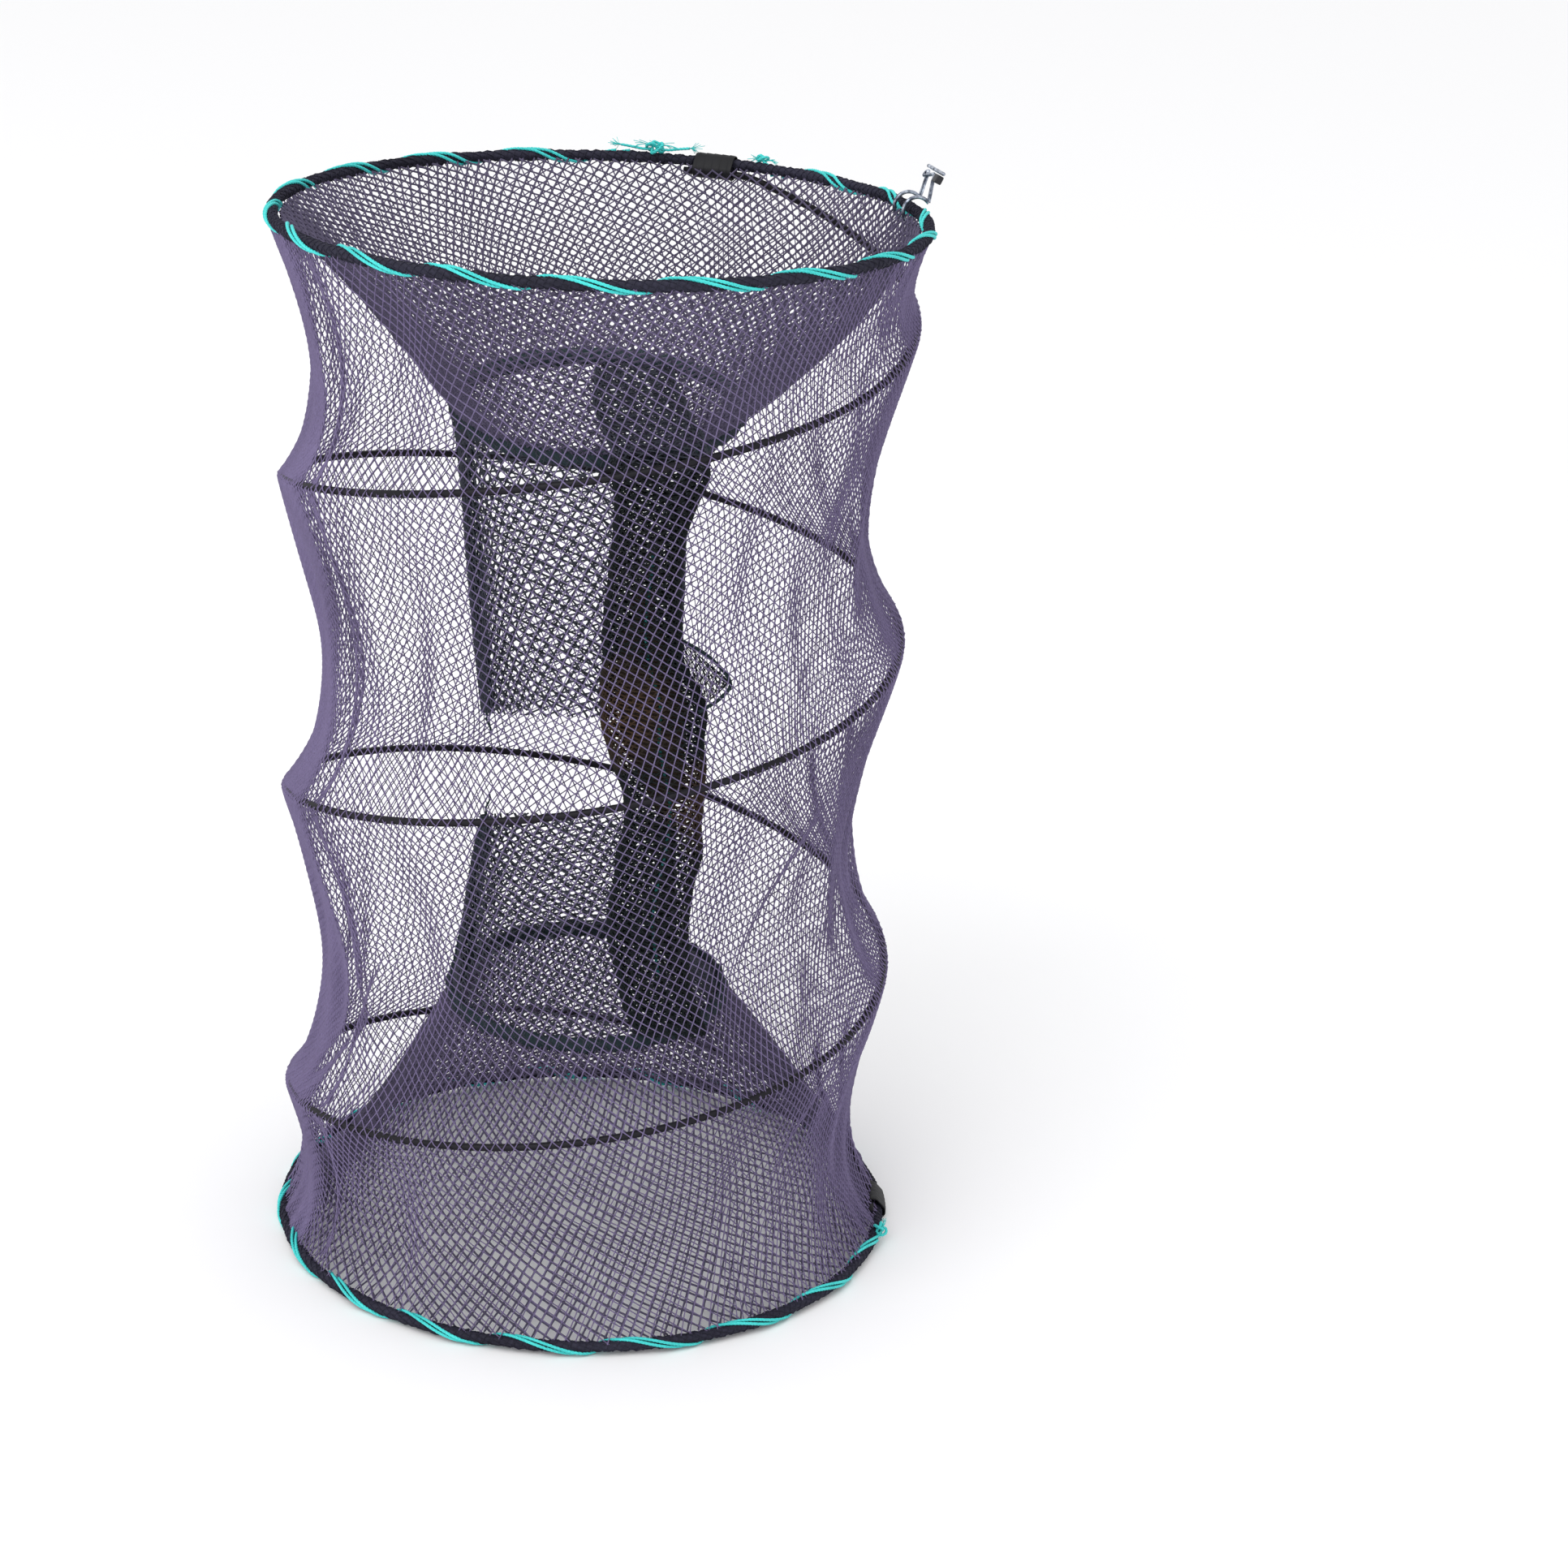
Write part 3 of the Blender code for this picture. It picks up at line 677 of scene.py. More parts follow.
def section_place(azimuth, angle, reach, ring_z):
    """A point at an azimuth and a reach from the ring's centre line, angle 0 outwards, 90 degrees up."""
    radius = RING_RADIUS + reach * np.cos(angle)
    z = ring_z + reach * np.sin(angle)
    return np.stack([radius * np.cos(azimuth), radius * np.sin(azimuth), z], -1)


def hem_reach(azimuth, angle):
    """The hem's lumpy radius: bunched folds that run aslant, drawn in every few centimetres."""
    folds = 0.5 * np.sin(3 * angle + 41 * azimuth) + 0.35 * np.sin(5 * angle - 67 * azimuth + 1.0)
    folds = folds + 0.3 * np.sin(2 * angle + 113 * azimuth + 2.0)
    return HEM_RADIUS + 0.00022 * folds + 0.00018 * np.sin(18 * azimuth)


def hem(end):
    """A solid core of bunched net with loose strands over it."""
    ring_z, body = RING_HEIGHT[end], END_BODY[end]

    def core_place(azimuth, angle):
        return section_place(azimuth, angle, hem_reach(azimuth, angle), ring_z)

    core = closed_roll(f"{end}_hem_core", core_place, math.tau, math.tau, HEM_STEPS, HEM_NET)
    hold(core, body, "hem_net", f"{end}_hem")
    width = math.tau * RING_RADIUS
    height = math.tau * (HEM_RADIUS + 0.0003)

    def place(around, up):
        turn = around / width * math.tau
        section = math.pi + up / height * math.tau
        return section_place(turn, section, hem_reach(turn, section) + 0.0002, ring_z)

    cover = net(f"{end}_hem_net", place, width, height, HEM_NET, HEM_CELL, thick=0.85)[0]
    hold(cover, body, "hem_net")


hem("top")
hem("bottom")


# Twine: lacing, knots and cut ends

TWINE_RADIUS = 0.00080
TWINE_REACH = 0.0031
STRAND_LEAD = 2.6
LACING_PITCH = 20.0
LACING_OUTER_SHARE = 0.62
# Length of one twist, and the plies' distance from the middle and radius as shares of the twine's
TWINE_LAY = 0.0052
PLY_OUT = 0.48
PLY_RADIUS = 0.56


def travelled(route):
    """The distance along a route at each of its points."""
    return np.concatenate([[0.0], np.cumsum(np.linalg.norm(np.diff(route, axis=0), axis=1))])


def twine(route, radius=TWINE_RADIUS, plies=3):
    """Points and faces of twisted twine along a route of closely spaced points."""
    route = np.asarray(route, float)
    across, aside = crossways(route)
    parts = []
    for ply in range(plies):
        turn = travelled(route) / TWINE_LAY * math.tau + ply * math.tau / plies
        out = across * np.cos(turn)[:, None] + aside * np.sin(turn)[:, None]
        parts.append(tube(route + out * radius * PLY_OUT, radius * PLY_RADIUS, 6))
    return joined(parts)


def resample(route, step):
    """Points a step apart along a route."""
    route = np.asarray(route, float)
    gone = travelled(route)
    marks = np.linspace(0.0, gone[-1], max(int(gone[-1] / step), 2) + 1)
    return np.stack([np.interp(marks, gone, column) for column in route.T], 1)


def smooth(route, step=0.0008):
    """A smooth curve through a few points."""
    route = np.asarray(route, float)
    marks = np.arange(len(route))
    fine = np.linspace(0, len(route) - 1, (len(route) - 1) * 16 + 1)
    place = np.clip(fine.astype(int), 0, len(route) - 2)
    share = (fine - place)[:, None]
    padded = np.concatenate([2 * route[:1] - route[1:2], route, 2 * route[-1:] - route[-2:-1]])
    before, start, finish, after = (padded[place + k] for k in range(4))
    curve = 0.5 * (
        2 * start + (finish - before) * share
        + (2 * before - 5 * start + 4 * finish - after) * share ** 2
        + (3 * start - before - 3 * finish + after) * share ** 3
    )
    return resample(curve, step)


def lacing(end, strand, first, last):
    """Twine wound round the hem: a long slant over the outer side, a short step inside."""
    first, last = first + strand * STRAND_LEAD, last + strand * STRAND_LEAD
    outer = LACING_PITCH * LACING_OUTER_SHARE / 3
    inner = LACING_PITCH * (1 - LACING_OUTER_SHARE) / 3
    advance = np.cumsum([0.0, outer, outer, inner, inner, inner, outer])
    turns = np.arange(0.0, (last - first) / LACING_PITCH, 1 / 72)
    within = np.interp((turns % 1) * 6, np.arange(7), advance)
    azimuth = np.radians(first + np.floor(turns) * LACING_PITCH + within)
    section = np.radians(60.0) - turns * math.tau
    reach = TWINE_REACH + 0.0001 * np.sin(azimuth * 31)
    route = section_place(azimuth, section, reach, RING_HEIGHT[end])
    piece = mesh_piece(f"{end}_twine_{strand + 1}", *twine(resample(route, 0.0011)), TWINE)
    hold(piece, END_BODY[end], "twine", f"{end}_lacing_{strand + 1}")


for strand in range(2):
    lacing("bottom", strand, 20.0, 344.0)
    lacing("top", strand, 85.0, 413.0)


def knot(name, end, azimuth, section, size, node):
    """An overhand knot of twine drawn tight on the hem, with three frayed ends."""
    turn = np.linspace(0.0, math.tau * 0.985, 90)
    wide = 2 + np.cos(3 * turn)
    shape = np.stack([wide * np.cos(2 * turn), wide * np.sin(2 * turn), 1.5 * np.sin(3 * turn)], 1)
    shape = shape * size / 3
    spin, lean = math.radians(azimuth), math.radians(section)
    outward, along = directions(spin)
    off = outward * math.cos(lean) + np.array([0.0, 0.0, math.sin(lean)])
    side = np.cross(off, along)
    middle = section_place(spin, lean, HEM_RADIUS + size * 0.62, RING_HEIGHT[end])
    route = middle + shape[:, :1] * along + shape[:, 1:2] * side + shape[:, 2:] * off
    parts = [twine(resample(route, 0.0008), 0.00078)]
    random = np.random.default_rng(abs(round(azimuth * 7)) + 3)
    for way in (-1.0, 1.0, 0.35):
        for _ in range(7):
            lift = random.uniform(-0.25, 0.75)
            bend = random.normal(0, 0.35, 2)
            reach = size * random.uniform(1.6, 2.6)
            tip = middle + along * way * reach + off * lift * size + side * bend[0] * size
            half = middle + along * way * reach * 0.55 + off * (lift * 0.3 + 0.3) * size
            half = half + side * bend[1] * size * 0.4
            parts.append(tube(smooth([middle, half, tip], 0.0009), 0.00016, 4))
    piece = mesh_piece(name, *joined(parts), TWINE)
    hold(piece, END_BODY[end], "twine", node)


CLOSING_AZIMUTH = 80.0
knot("bottom_knot", "bottom", -13.0, 42.0, 0.0034, "bottom_lacing_knot")
knot("top_knot", "top", 59.0, 42.0, 0.0034, "top_lacing_knot")
knot("closing_knot", "top", CLOSING_AZIMUTH, 90.0, 0.0046, "closing_cord_knot")


def cut_end(way, node):
    """A short end of twine that lies along the hem, its tip frayed."""
    azimuth = np.radians(CLOSING_AZIMUTH + way * np.array([0.8, 2.4, 4.4, 6.6]))
    lift = np.array([0.0044, 0.0042, 0.0050, 0.0058])
    route = smooth(section_place(azimuth, math.radians(90.0), lift, TOP))
    parts = [twine(route, 0.0007)]
    random = np.random.default_rng(5 + int(way))
    heading = route[-1] - route[-4]
    heading = heading / np.linalg.norm(heading)
    for _ in range(12):
        spread = random.normal(0, 0.35, 3)
        bend = route[-1] + heading * 0.0015 + spread * 0.0006
        tip = route[-1] + (heading + spread) * 0.0042
        parts.append(tube([route[-2], bend, tip], 0.00013, 4))
    piece = mesh_piece(f"closing_cord_end_{'left' if way > 0 else 'right'}", *joined(parts), TWINE)
    hold(piece, "top", "twine", node)


cut_end(-1.0, "closing_cord_tail_right")
cut_end(1.0, "closing_cord_tail_left")


# Tape that binds the ends of the coil to the rings

TAPE_LENGTH = 0.020
TAPE_WINDINGS = 5
TAPE_SIDES = 40
# Reach of the tape's inner side over the ring's hem and over the coil's wire
TAPE_OVER_HEM = 0.00398
TAPE_OVER_WIRE = 0.0006
TAPE_OUTER = 0.00418
TAPE_STEP = 0.00024


def tape(end, azimuth, side):
    """Windings of tape round the hem and the coil's end, each lying partly over the one before."""
    lean = np.array([COIL_RADIUS - RING_RADIUS, side * COIL_END])
    far = lean / np.linalg.norm(lean) * (np.linalg.norm(lean) + WIRE + TAPE_OVER_WIRE - TAPE_OVER_HEM)
    along = np.linspace(-TAPE_LENGTH / 2, TAPE_LENGTH / 2, 61)
    outward, tangent = directions(math.radians(azimuth))
    turn = np.linspace(0.0, math.tau, TAPE_SIDES, endpoint=False)
    arm = np.stack([np.cos(turn), np.sin(turn)], 1)
    shift = np.clip(arm @ lean / np.linalg.norm(lean) * 6, 0.0, 1.0)[:, None] * far
    rings = []
    for place in along:
        step = ((place / TAPE_LENGTH + 0.5) * TAPE_WINDINGS + turn / math.tau) % 1.0
        ends = 0.00012 * np.clip(1 - (TAPE_LENGTH / 2 - abs(place)) / 0.0008, 0.0, 1.0)
        reach = TAPE_OUTER + TAPE_STEP * step - ends
        flat = arm * reach[:, None] + shift
        sag = place * place / (2 * RING_RADIUS)
        centre = outward * (RING_RADIUS - sag) + tangent * place + np.array([0, 0, RING_HEIGHT[end]])
        rings.append(centre + flat[:, :1] * outward + flat[:, 1:] * np.array([0.0, 0.0, 1.0]))
    lip = [ring - (ring - ring.mean(0)) * 0.08 for ring in (rings[0], rings[-1])]
    rings = [lip[0], *rings, lip[1]]
    piece = mesh_piece(f"{end}_tape", np.concatenate(rings), tube_faces(len(rings), TAPE_SIDES), TAPE)
    hold(piece, END_BODY[end], "tape", f"{end}_splice_tape")


tape("bottom", 0.0, 1.0)
tape("top", 68.0, -1.0)


# Gathered side edges of the throats, and their threads

SEAM_ROUND = 0.020
SEAM_CELL = 0.0022
SEAM_ROLL = 0.0030
NECK_SEAM_FLAT = (THROAT_ROUND, 0.015)
NECK_SEAM_CELL = 0.0028
NECK_ROLL = 0.0026
# Steps round the neck and round the roll's section
NECK_STEPS = (480, 14)


def throat_seams(end):
    """A bunched roll of net down each side edge of a throat, and the thread at its left corner."""
    ring_z, way, reach, length = FUNNELS[end]
    for side, label in ((-1.0, "left"), (1.0, "right")):

        def place(around, up, side=side):
            angle = around / SEAM_ROUND * math.tau
            share = up / length
            edge = throat_side(share)[0 if side < 0 else 1]
            roll = SEAM_ROLL * (1.0 - 0.30 * share) * (1 + 0.12 * np.sin(3 * angle + 40 * up))
            x = edge - side * 0.0026 + 1.25 * roll * np.cos(angle)
            y = 0.7 * roll * np.sin(angle) + 0.0010 * np.sin(60 * up)
            z = ring_z + way * (reach + 0.001 + up) + neck_lift(end, 0.0) * (1 - share)
            return np.stack([x, y, z], 1)

        flat = (SEAM_ROUND, length)
        piece = net(f"{end}_throat_seam_{label}", place, *flat, SEAM_NET, SEAM_CELL, thick=1.2)[0]
        hold(piece, END_BODY[end], "dark_net", folds=True)
    slit_z = ring_z + way * (reach + length)
    tip = np.array([-SLIT_HALF[0] + 0.001, 0.0, slit_z])
    route = smooth([tip + np.array([0.0006 * k + 0.0005 * math.sin(2.1 * k), 0.0, way * 0.0024 * k])
                    for k in range(6)])
    thread = mesh_piece(f"{end}_throat_end", *twine(route, 0.0006, plies=2), SEAM_NET)
    hold(thread, END_BODY[end], "dark_net", f"{end}_throat_thread", folds=True)


def neck_seam(end):
    """The seam between funnel and throat: net rolled into a soft band round the neck."""
    ring_z, way, reach, _ = FUNNELS[end]
    width, height = NECK_SEAM_FLAT

    def place(around, up):
        azimuth = around / width * math.tau
        section = up / height * math.tau
        roll = NECK_ROLL * (1 + 0.14 * np.sin(31 * azimuth) + 0.12 * np.sin(3 * section + 17 * azimuth))
        x = (NECK_HALF[0] + roll * np.cos(section)) * np.cos(azimuth)
        y = (NECK_HALF[1] + roll * np.cos(section)) * np.sin(azimuth)
        z = ring_z + way * (reach + 0.0006) + neck_lift(end, azimuth) + 1.5 * roll * np.sin(section)
        return np.stack([x, y, z], 1)

    core = closed_roll(f"{end}_neck_roll", place, width, height, NECK_STEPS, SEAM_NET)
    hold(core, END_BODY[end], "dark_net", folds=True)
    band = net(f"{end}_neck_seam", place, width, height, THROAT_NET, NECK_SEAM_CELL, thick=0.9)[0]
    hold(band, END_BODY[end], "dark_net", folds=True)


for end in FUNNELS:
    throat_seams(end)
    neck_seam(end)


# Bait sleeve with its pouch, drawstring and loose flap

# Right of the axis, behind it, height above the bottom ring, half width, half depth
BAIT_FORM = (
    (0.0405, -0.0570, 0.118, 0.0165, 0.0070),
    (0.0330, -0.0505, 0.136, 0.0170, 0.0080),
    (0.0285, -0.0378, 0.166, 0.0185, 0.0085),
    (0.0330, -0.0260, 0.196, 0.0193, 0.0085),
    (0.0345, -0.0225, 0.211, 0.0180, 0.0080),
    (0.0345, -0.0220, 0.226, 0.0188, 0.0080),
    (0.0320, -0.0220, 0.241, 0.0210, 0.0085),
    (0.0292, -0.0222, 0.256, 0.0237, 0.0085),
    (0.0285, -0.0230, 0.271, 0.0240, 0.0085),
    (0.0240, -0.0285, 0.291, 0.0195, 0.0085),
    (0.0226, -0.0345, 0.306, 0.0178, 0.0085),
    (0.0223, -0.0427, 0.331, 0.0167, 0.0085),
    (0.0242, -0.0514, 0.361, 0.0160, 0.0080),
    (0.0284, -0.0610, 0.391, 0.0204, 0.0080),
    (0.0262, -0.0705, 0.411, 0.0215, 0.0070),
    (0.0200, -0.0840, 0.426, 0.0205, 0.0060),
    (0.0165, -0.0985, 0.441, 0.0185, 0.0050),
    (0.0150, -0.1105, 0.454, 0.0165, 0.0045),
)
BAIT_FLAT = (0.104, 0.308)
BAIT_ENDS = (0.118, 0.402)
BAIT_CELL = 0.0024
COLLAR_FLAT = (0.104, 0.078)
COLLAR_ENDS = (0.396, 0.454)
COLLAR_CELL = 0.0036
BAG_HEIGHT = 0.276
BAG_HALF_HEIGHT = 0.060
DRAWSTRING_ENDS = (0.145, 0.355)
bait_line = smooth(BAIT_FORM)


def bait_form(height):
    """The bait sleeve's centre, half width and half depth at a height above the bottom ring."""
    return [np.interp(height, bait_line[:, 2], bait_line[:, k]) for k in (0, 1, 3, 4)]


def bait_place(flat, ends):
    """A flat tube with soft lengthwise folds, between two heights."""

    def place(around, up):
        phase = around / flat[0] * math.tau
        angle = phase - 0.32 * np.sin(2 * phase)
        height = ends[0] + (ends[1] - ends[0]) * np.clip(up / flat[1], 0.0, 1.0)
        x, y, wide, deep = bait_form(height)
        fold_wave = 0.6 * np.sin(5 * angle + 60 * height) + 0.4 * np.sin(9 * angle - 85 * height + 1.0)
        wide = wide * (1 + 0.020 * np.sin(165 * height) + 0.014 * np.sin(290 * height + 1.0))
        deep = deep * (0.88 + 0.12 * fold_wave)
        return np.stack([x + wide * np.cos(angle), y + deep * np.sin(angle), BOTTOM + height], 1)

    return place


def bait_sleeve():
    """The long dark tube, and the thinner collar that gathers its top."""
    piece = net("bait_sleeve_net", bait_place(BAIT_FLAT, BAIT_ENDS), *BAIT_FLAT, BAIT_NET, BAIT_CELL,
                thick=1.85, sealed=True)[0]
    hold(piece, "base", "dark_net", "bait_sleeve", folds=True)
    collar = net("bait_collar_net", bait_place(COLLAR_FLAT, COLLAR_ENDS), *COLLAR_FLAT, THROAT_NET,
                 COLLAR_CELL, thick=1.4)[0]
    hold(collar, "base", "dark_net", folds=True)


def bait_pouch():
    """A slack cloth pouch, drawn in at its neck, with creases that run up to it."""
    rings, sides = 90, 64
    level = np.linspace(-1.0, 1.0, rings)
    turn = np.linspace(0.0, math.tau, sides, endpoint=False)
    up, around = np.meshgrid(level, turn, indexing="ij")
    x, y, wide, deep = bait_form(BAG_HEIGHT + BAG_HALF_HEIGHT * up)
    fullness = np.sqrt(np.clip(1.0 - np.abs(up) ** 2.6, 0.0, 1.0))
    neck = 1.0 - 0.45 * np.exp(-((up - 0.72) / 0.10) ** 2)
    fullness = np.maximum(fullness * neck, 0.02)
    creases = 0.5 * np.sin(7 * around + 5 * up) + 0.3 * np.sin(13 * around - 9 * up + 2.0)
    creases = creases + 0.35 * np.sin(21 * up + 3 * np.cos(around))
    swell = fullness * (1 + 0.07 * creases * (0.5 + 0.5 * np.abs(up)))
    points = np.stack([
        x + 0.66 * wide * swell * np.cos(around),
        y + 0.50 * deep * swell * np.sin(around),
        BOTTOM + BAG_HEIGHT + BAG_HALF_HEIGHT * up,
    ], -1)
    faces = np.concatenate([tube_faces(rings, sides), end_caps(rings, sides)])
    piece = mesh_piece("bait_pouch", points.reshape(-1, 3), faces, BAG_CLOTH)
    hold(piece, "base", "bait_cloth", "bait_bag", folds=True)


def bait_drawstring():
    """Teal twine down the front of the pouch."""
    height = np.linspace(*DRAWSTRING_ENDS, 60)
    x, y, wide, deep = bait_form(height)
    x = x + 0.12 * wide + 0.0008 * np.sin(95 * height)
    route = np.stack([x, y - 0.64 * deep, BOTTOM + height], 1)
    piece = mesh_piece("bait_drawstring", *twine(resample(route, 0.0008), 0.0009), TEAL_TWINE)
    hold(piece, "base", "twine", "bait_cord", folds=True)


FLAP_CORNERS = ((0.0420, 0.3060), (0.0640, 0.2850), (0.0530, 0.2700))
FLAP_FLAT = (0.0310, 0.0340)
FLAP_CELL = 0.0024
# How far the flap reaches under the sleeve, and how far its tip bends forward
FLAP_TUCK = 0.0030
FLAP_BEND = 0.0030


def bait_flap():
    """A loose three-sided corner of dense net with a bound rim."""
    inner_top, tip, inner_foot = (np.array([x, 0.0, BOTTOM + height]) for x, height in FLAP_CORNERS)
    front = bait_form(FLAP_CORNERS[1][1])[1]
    tuck = np.array([-FLAP_TUCK, 0.0, 0.0])
    inner_top, inner_foot = inner_top + tuck, inner_foot + tuck

    def place(around, up):
        """From the inner edge to the tip, round the flap's front and back."""
        share = np.clip(up / FLAP_FLAT[1], 0.0, 1.0)[:, None]
        phase = around / FLAP_FLAT[0] * math.tau
        lay = (0.5 - 0.5 * np.cos(phase))[:, None]
        upper = inner_top + (tip - inner_top) * share
        lower = inner_foot + (tip - inner_foot) * share
        points = lower + (upper - lower) * lay
        swell = np.sin(math.pi * lay[:, 0]) * (1 - 0.7 * share[:, 0])
        bend = FLAP_BEND * share[:, 0] ** 2
        points[:, 1] = front + 0.0011 * np.sin(phase) * swell - bend + 0.0008 * np.sin(9 * share[:, 0])
        return points

    tab = net("bait_flap_net", place, *FLAP_FLAT, BAIT_NET, FLAP_CELL, thick=0.72)[0]
    upper_bow = (inner_top - tuck + tip) * 0.5 + np.array([0.0008, 0, 0.0012])
    lower_bow = (tip + inner_foot - tuck) * 0.5 + np.array([0.0010, 0, -0.0008])
    rim_route = smooth([inner_top, upper_bow, tip, lower_bow, inner_foot], 0.0010)
    root = (inner_top + inner_foot) / 2 - tuck
    away = np.linalg.norm(rim_route - root, axis=1)
    rim_route[:, 1] = front - FLAP_BEND * np.clip(away / 0.022, 0.0, 1.0) ** 2
    rim = mesh_piece("bait_flap_rim", *twine(rim_route, 0.0010), SEAM_NET)
    hold(tab, "base", "dark_net", "bait_flap", folds=True)
    hold(rim, "base", "dark_net", folds=True)


bait_pouch()
bait_sleeve()
bait_drawstring()
bait_flap()


# Wire hanger

HANGER_AZIMUTH = math.radians(14.0)
HANGER_LEAN = math.radians(27.0)
HANGER_WIRE = 0.0009
EYE_RADIUS = 0.0066
LEG_OFFSET = 0.0065
BAIL_HEIGHT = 0.0185
PIN_OVERHANG = 0.0085
BAIL_BEND = 0.0028
PIN_GAP = 0.0004
BLOCK_SIZE = (0.0050, 0.0034, 0.0040)
BLOCK_PAST_BAIL = 0.0036
hanger_out, hanger_back = directions(HANGER_AZIMUTH)
hanger_along = -hanger_back
hanger_up = hanger_out * math.sin(HANGER_LEAN) + np.array([0.0, 0.0, math.cos(HANGER_LEAN)])
hanger_face = hanger_out * math.cos(HANGER_LEAN) - np.array([0.0, 0.0, math.sin(HANGER_LEAN)])
hanger_base = hanger_out * RING_RADIUS + np.array([0.0, 0.0, TOP])


def on_hanger(along, rise, proud=0.0):
    """A place on the hanger: along the ring, up its legs and off its face."""
    along, rise, proud = (np.asarray(part, float)[..., None] for part in (along, rise, proud))
    return hanger_base + hanger_along * along + hanger_up * rise + hanger_face * proud


def hanger():
    """The bail with its two eyes on the ring, the pin across its top and the stop beside it."""
    turn = np.radians(np.linspace(30.0, -270.0, 60))
    eye = on_hanger(LEG_OFFSET, EYE_RADIUS * np.cos(turn), EYE_RADIUS * np.sin(turn))
    far_eye = on_hanger(-LEG_OFFSET, EYE_RADIUS * np.cos(turn), EYE_RADIUS * np.sin(turn))[::-1]
    corner = np.radians(np.linspace(0.0, 90.0, 12))
    rise = BAIL_HEIGHT - BAIL_BEND + BAIL_BEND * np.sin(corner)
    reach = LEG_OFFSET - BAIL_BEND + BAIL_BEND * np.cos(corner)
    bow = on_hanger(reach, rise)
    far_bow = on_hanger(-reach, rise)[::-1]
    route = resample(np.concatenate([far_eye, far_bow, bow[::-1], eye]), 0.0006)
    bail = mesh_piece("hanger_bail_wire", *tube(route, HANGER_WIRE, 14), BRIGHT)
    hold(bail, "hanger", "bright_metal", "hanger_bail")
    level = BAIL_HEIGHT + 2 * HANGER_WIRE + PIN_GAP
    along = np.linspace(-LEG_OFFSET - 0.001, LEG_OFFSET + PIN_OVERHANG, 60)
    ends = np.minimum(along - along[0], along[-1] - along)
    radius = HANGER_WIRE * np.sqrt(np.clip(1 - (1 - np.clip(ends / 0.0006, 0.0, 1.0)) ** 2, 0.06, 1.0))
    pin = mesh_piece("hanger_pin", *tube(on_hanger(along, level), radius, 14), BRIGHT)
    hold(pin, "hanger", "bright_metal", "hanger_crossbar")
    hanger_block()


def hanger_block():
    """A moulded plastic stop with rounded edges and two grip grooves."""
    form = bmesh.new()
    bmesh.ops.create_cube(form, size=1.0)
    bmesh.ops.scale(form, verts=form.verts, vec=BLOCK_SIZE)
    bmesh.ops.subdivide_edges(form, edges=form.edges, cuts=7, use_grid_fill=True)
    for corner in form.verts:
        reach = Vector(2 * corner.co[k] / BLOCK_SIZE[k] for k in range(3))
        round_off = (abs(reach.x) ** 8 + abs(reach.y) ** 8 + abs(reach.z) ** 8) ** (1 / 8)
        groove = 1.0 - 0.05 * math.exp(-((abs(reach.x) - 0.4) / 0.12) ** 2)
        corner.co = Vector((corner.co.x, corner.co.y * groove, corner.co.z * groove)) / max(round_off, 1.0)
    along = LEG_OFFSET + HANGER_WIRE + BLOCK_PAST_BAIL
    rise = BAIL_HEIGHT + HANGER_WIRE - BLOCK_SIZE[2] / 2
    basis = Matrix((hanger_along, hanger_face, hanger_up)).transposed().to_4x4()
    place = Matrix.Translation(Vector(on_hanger(along, rise)))
    bmesh.ops.transform(form, verts=form.verts, matrix=place @ basis)
    bmesh.ops.recalc_face_normals(form, faces=form.faces)
    mesh = bpy.data.meshes.new("hanger_stop_block")
    form.to_mesh(mesh)
    form.free()
    mesh.shade_smooth()
    mesh.materials.append(PLASTIC)
    hold(placed("hanger_stop_block", mesh), "hanger", "plastic", "hanger_stop")


hanger()


# Stage, light and camera

FLOOR_REACH = 14.0
LAMP_PLACE = (-1.4, -2.2, 2.8)
LAMP_AIM = Vector((0, 0, 0.25))
LAMP_POWER = 60.0
LAMP_SIZE = 3.0


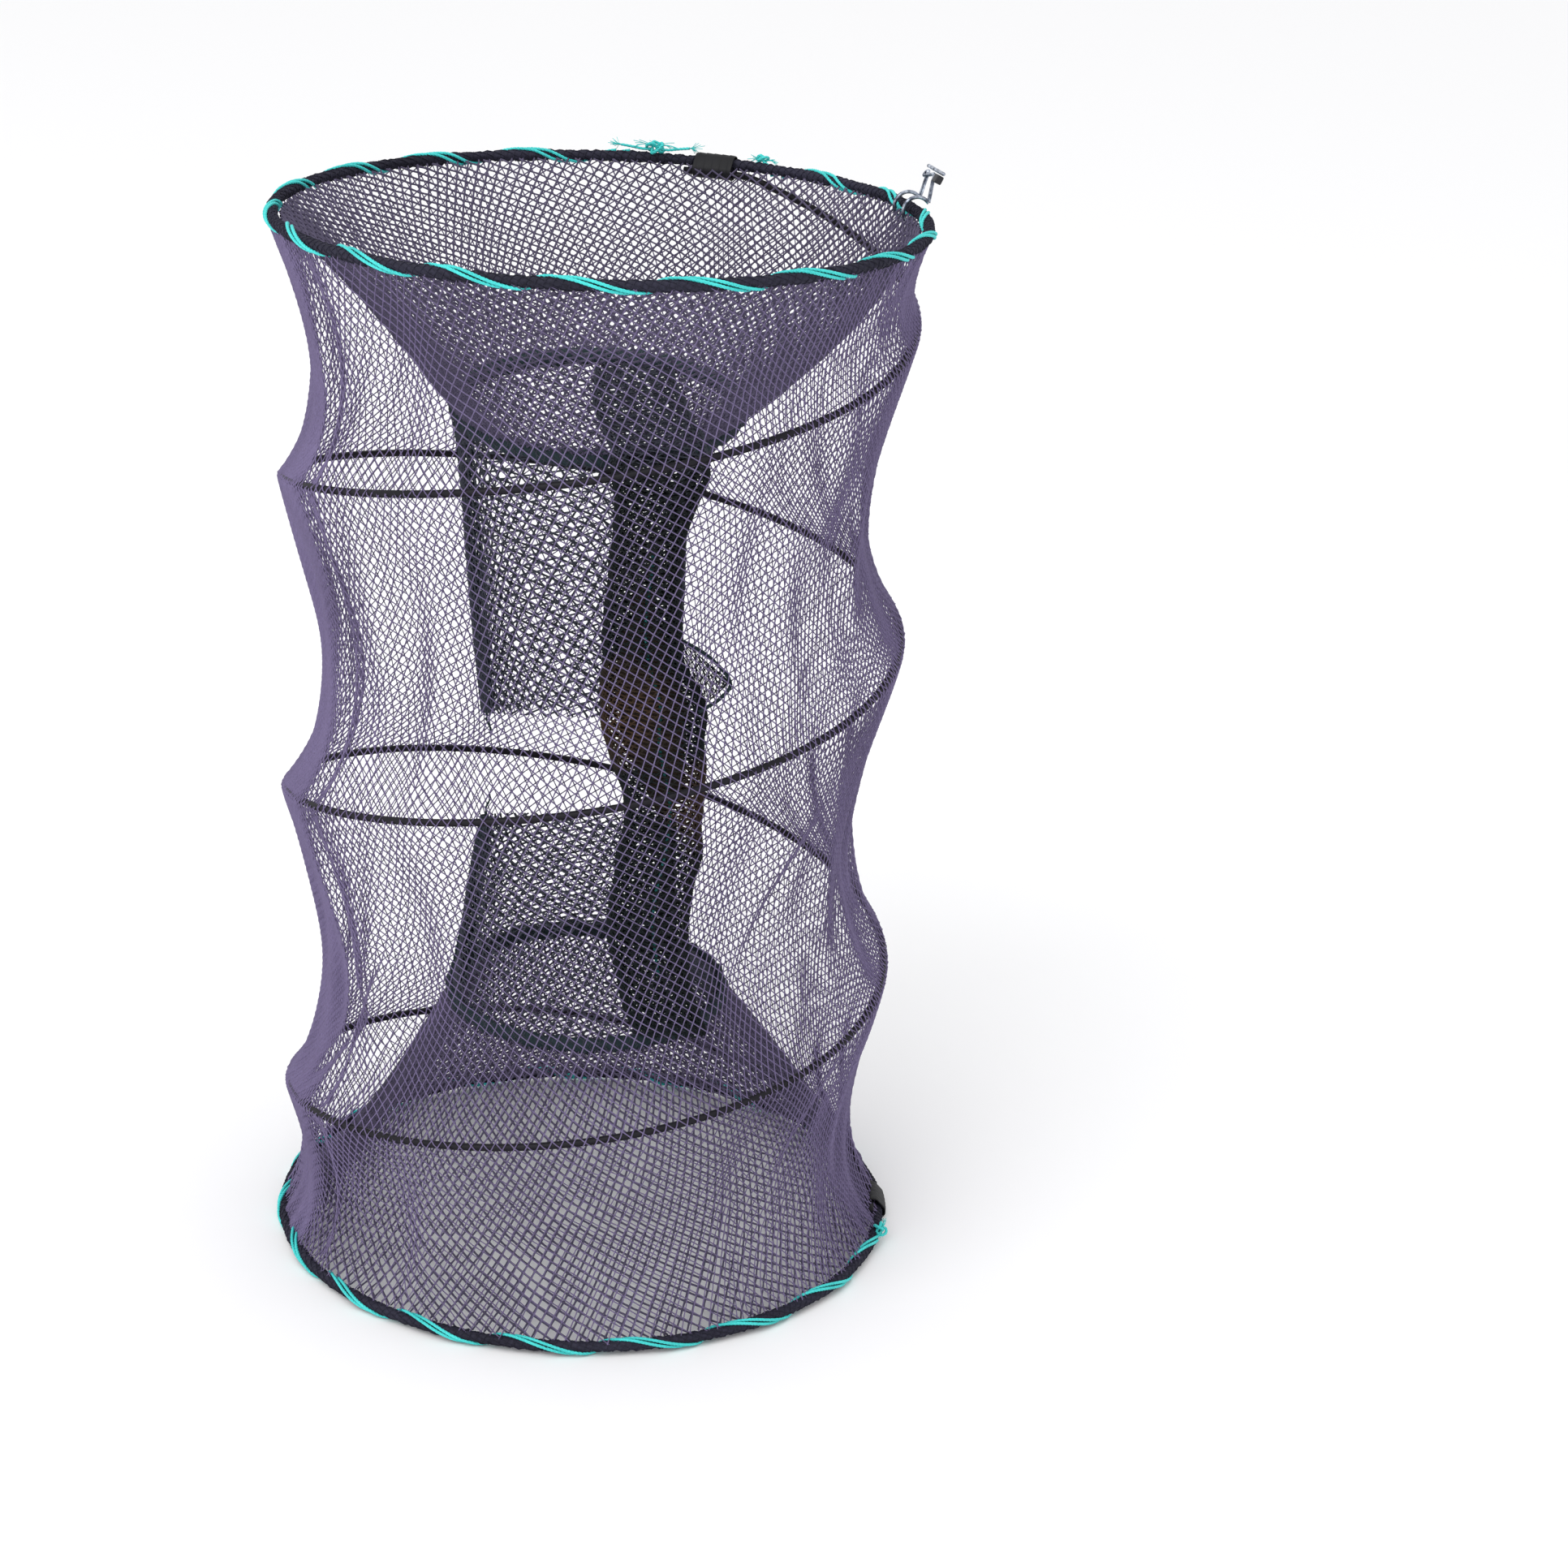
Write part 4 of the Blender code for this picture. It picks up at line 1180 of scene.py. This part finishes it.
def studio():
    """A white surround, a pale floor and one large soft lamp."""
    world = bpy.data.worlds.new("studio")
    bpy.context.scene.world = world
    world.use_nodes = True
    back = world.node_tree.nodes["Background"]
    back.inputs["Color"].default_value = (1.0, 1.0, 1.0, 1.0)
    back.inputs["Strength"].default_value = 1.0
    bpy.context.scene.view_settings.view_transform = "Standard"
    ground = bpy.data.meshes.new("floor")
    corners = [(FLOOR_REACH * x, FLOOR_REACH * y, 0) for x, y in ((-1, -1), (1, -1), (1, 1), (-1, 1))]
    ground.from_pydata(corners, [], [(0, 1, 2, 3)])
    floor = placed("floor", ground)
    floor.location.z = cad_box[0][2] - 0.0002
    paper, _, shader = principled("pale_paper", (0.93, 0.93, 0.94), 0.9)
    shader.inputs["Specular IOR Level"].default_value = 0.1
    ground.materials.append(paper)
    lamp = bpy.data.lights.new("softbox", "AREA")
    lamp.energy = LAMP_POWER
    lamp.shape = "DISK"
    lamp.size = LAMP_SIZE
    key = placed("softbox", lamp)
    key.location = LAMP_PLACE
    key.rotation_euler = (LAMP_AIM - key.location).to_track_quat("-Z", "Y").to_euler()


CAMERA_PLACE = Vector((0.0, -1.5570, 0.8100))
CAMERA_YAW = 0.0595
CAMERA_PITCH = 0.3568
CAMERA_ROLL = 0.0405
CAMERA_LENS = 79.46


def camera():
    """The camera at the photograph's viewing angle."""
    data = bpy.data.cameras.new("camera")
    data.lens = CAMERA_LENS
    data.sensor_width = 36.0
    data.clip_end = 100.0
    eye = placed("camera", data)
    level = math.cos(CAMERA_PITCH)
    ahead = Vector((math.sin(CAMERA_YAW) * level, math.cos(CAMERA_YAW) * level, -math.sin(CAMERA_PITCH)))
    right = ahead.cross(Vector((0, 0, 1))).normalized()
    above = right.cross(ahead)
    turned_right = right * math.cos(CAMERA_ROLL) + above * math.sin(CAMERA_ROLL)
    turned_up = above * math.cos(CAMERA_ROLL) - right * math.sin(CAMERA_ROLL)
    turn = Matrix((turned_right, turned_up, -ahead)).transposed().to_4x4()
    eye.matrix_world = Matrix.Translation(CAMERA_PLACE) @ turn
    bpy.context.scene.camera = eye


studio()
camera()
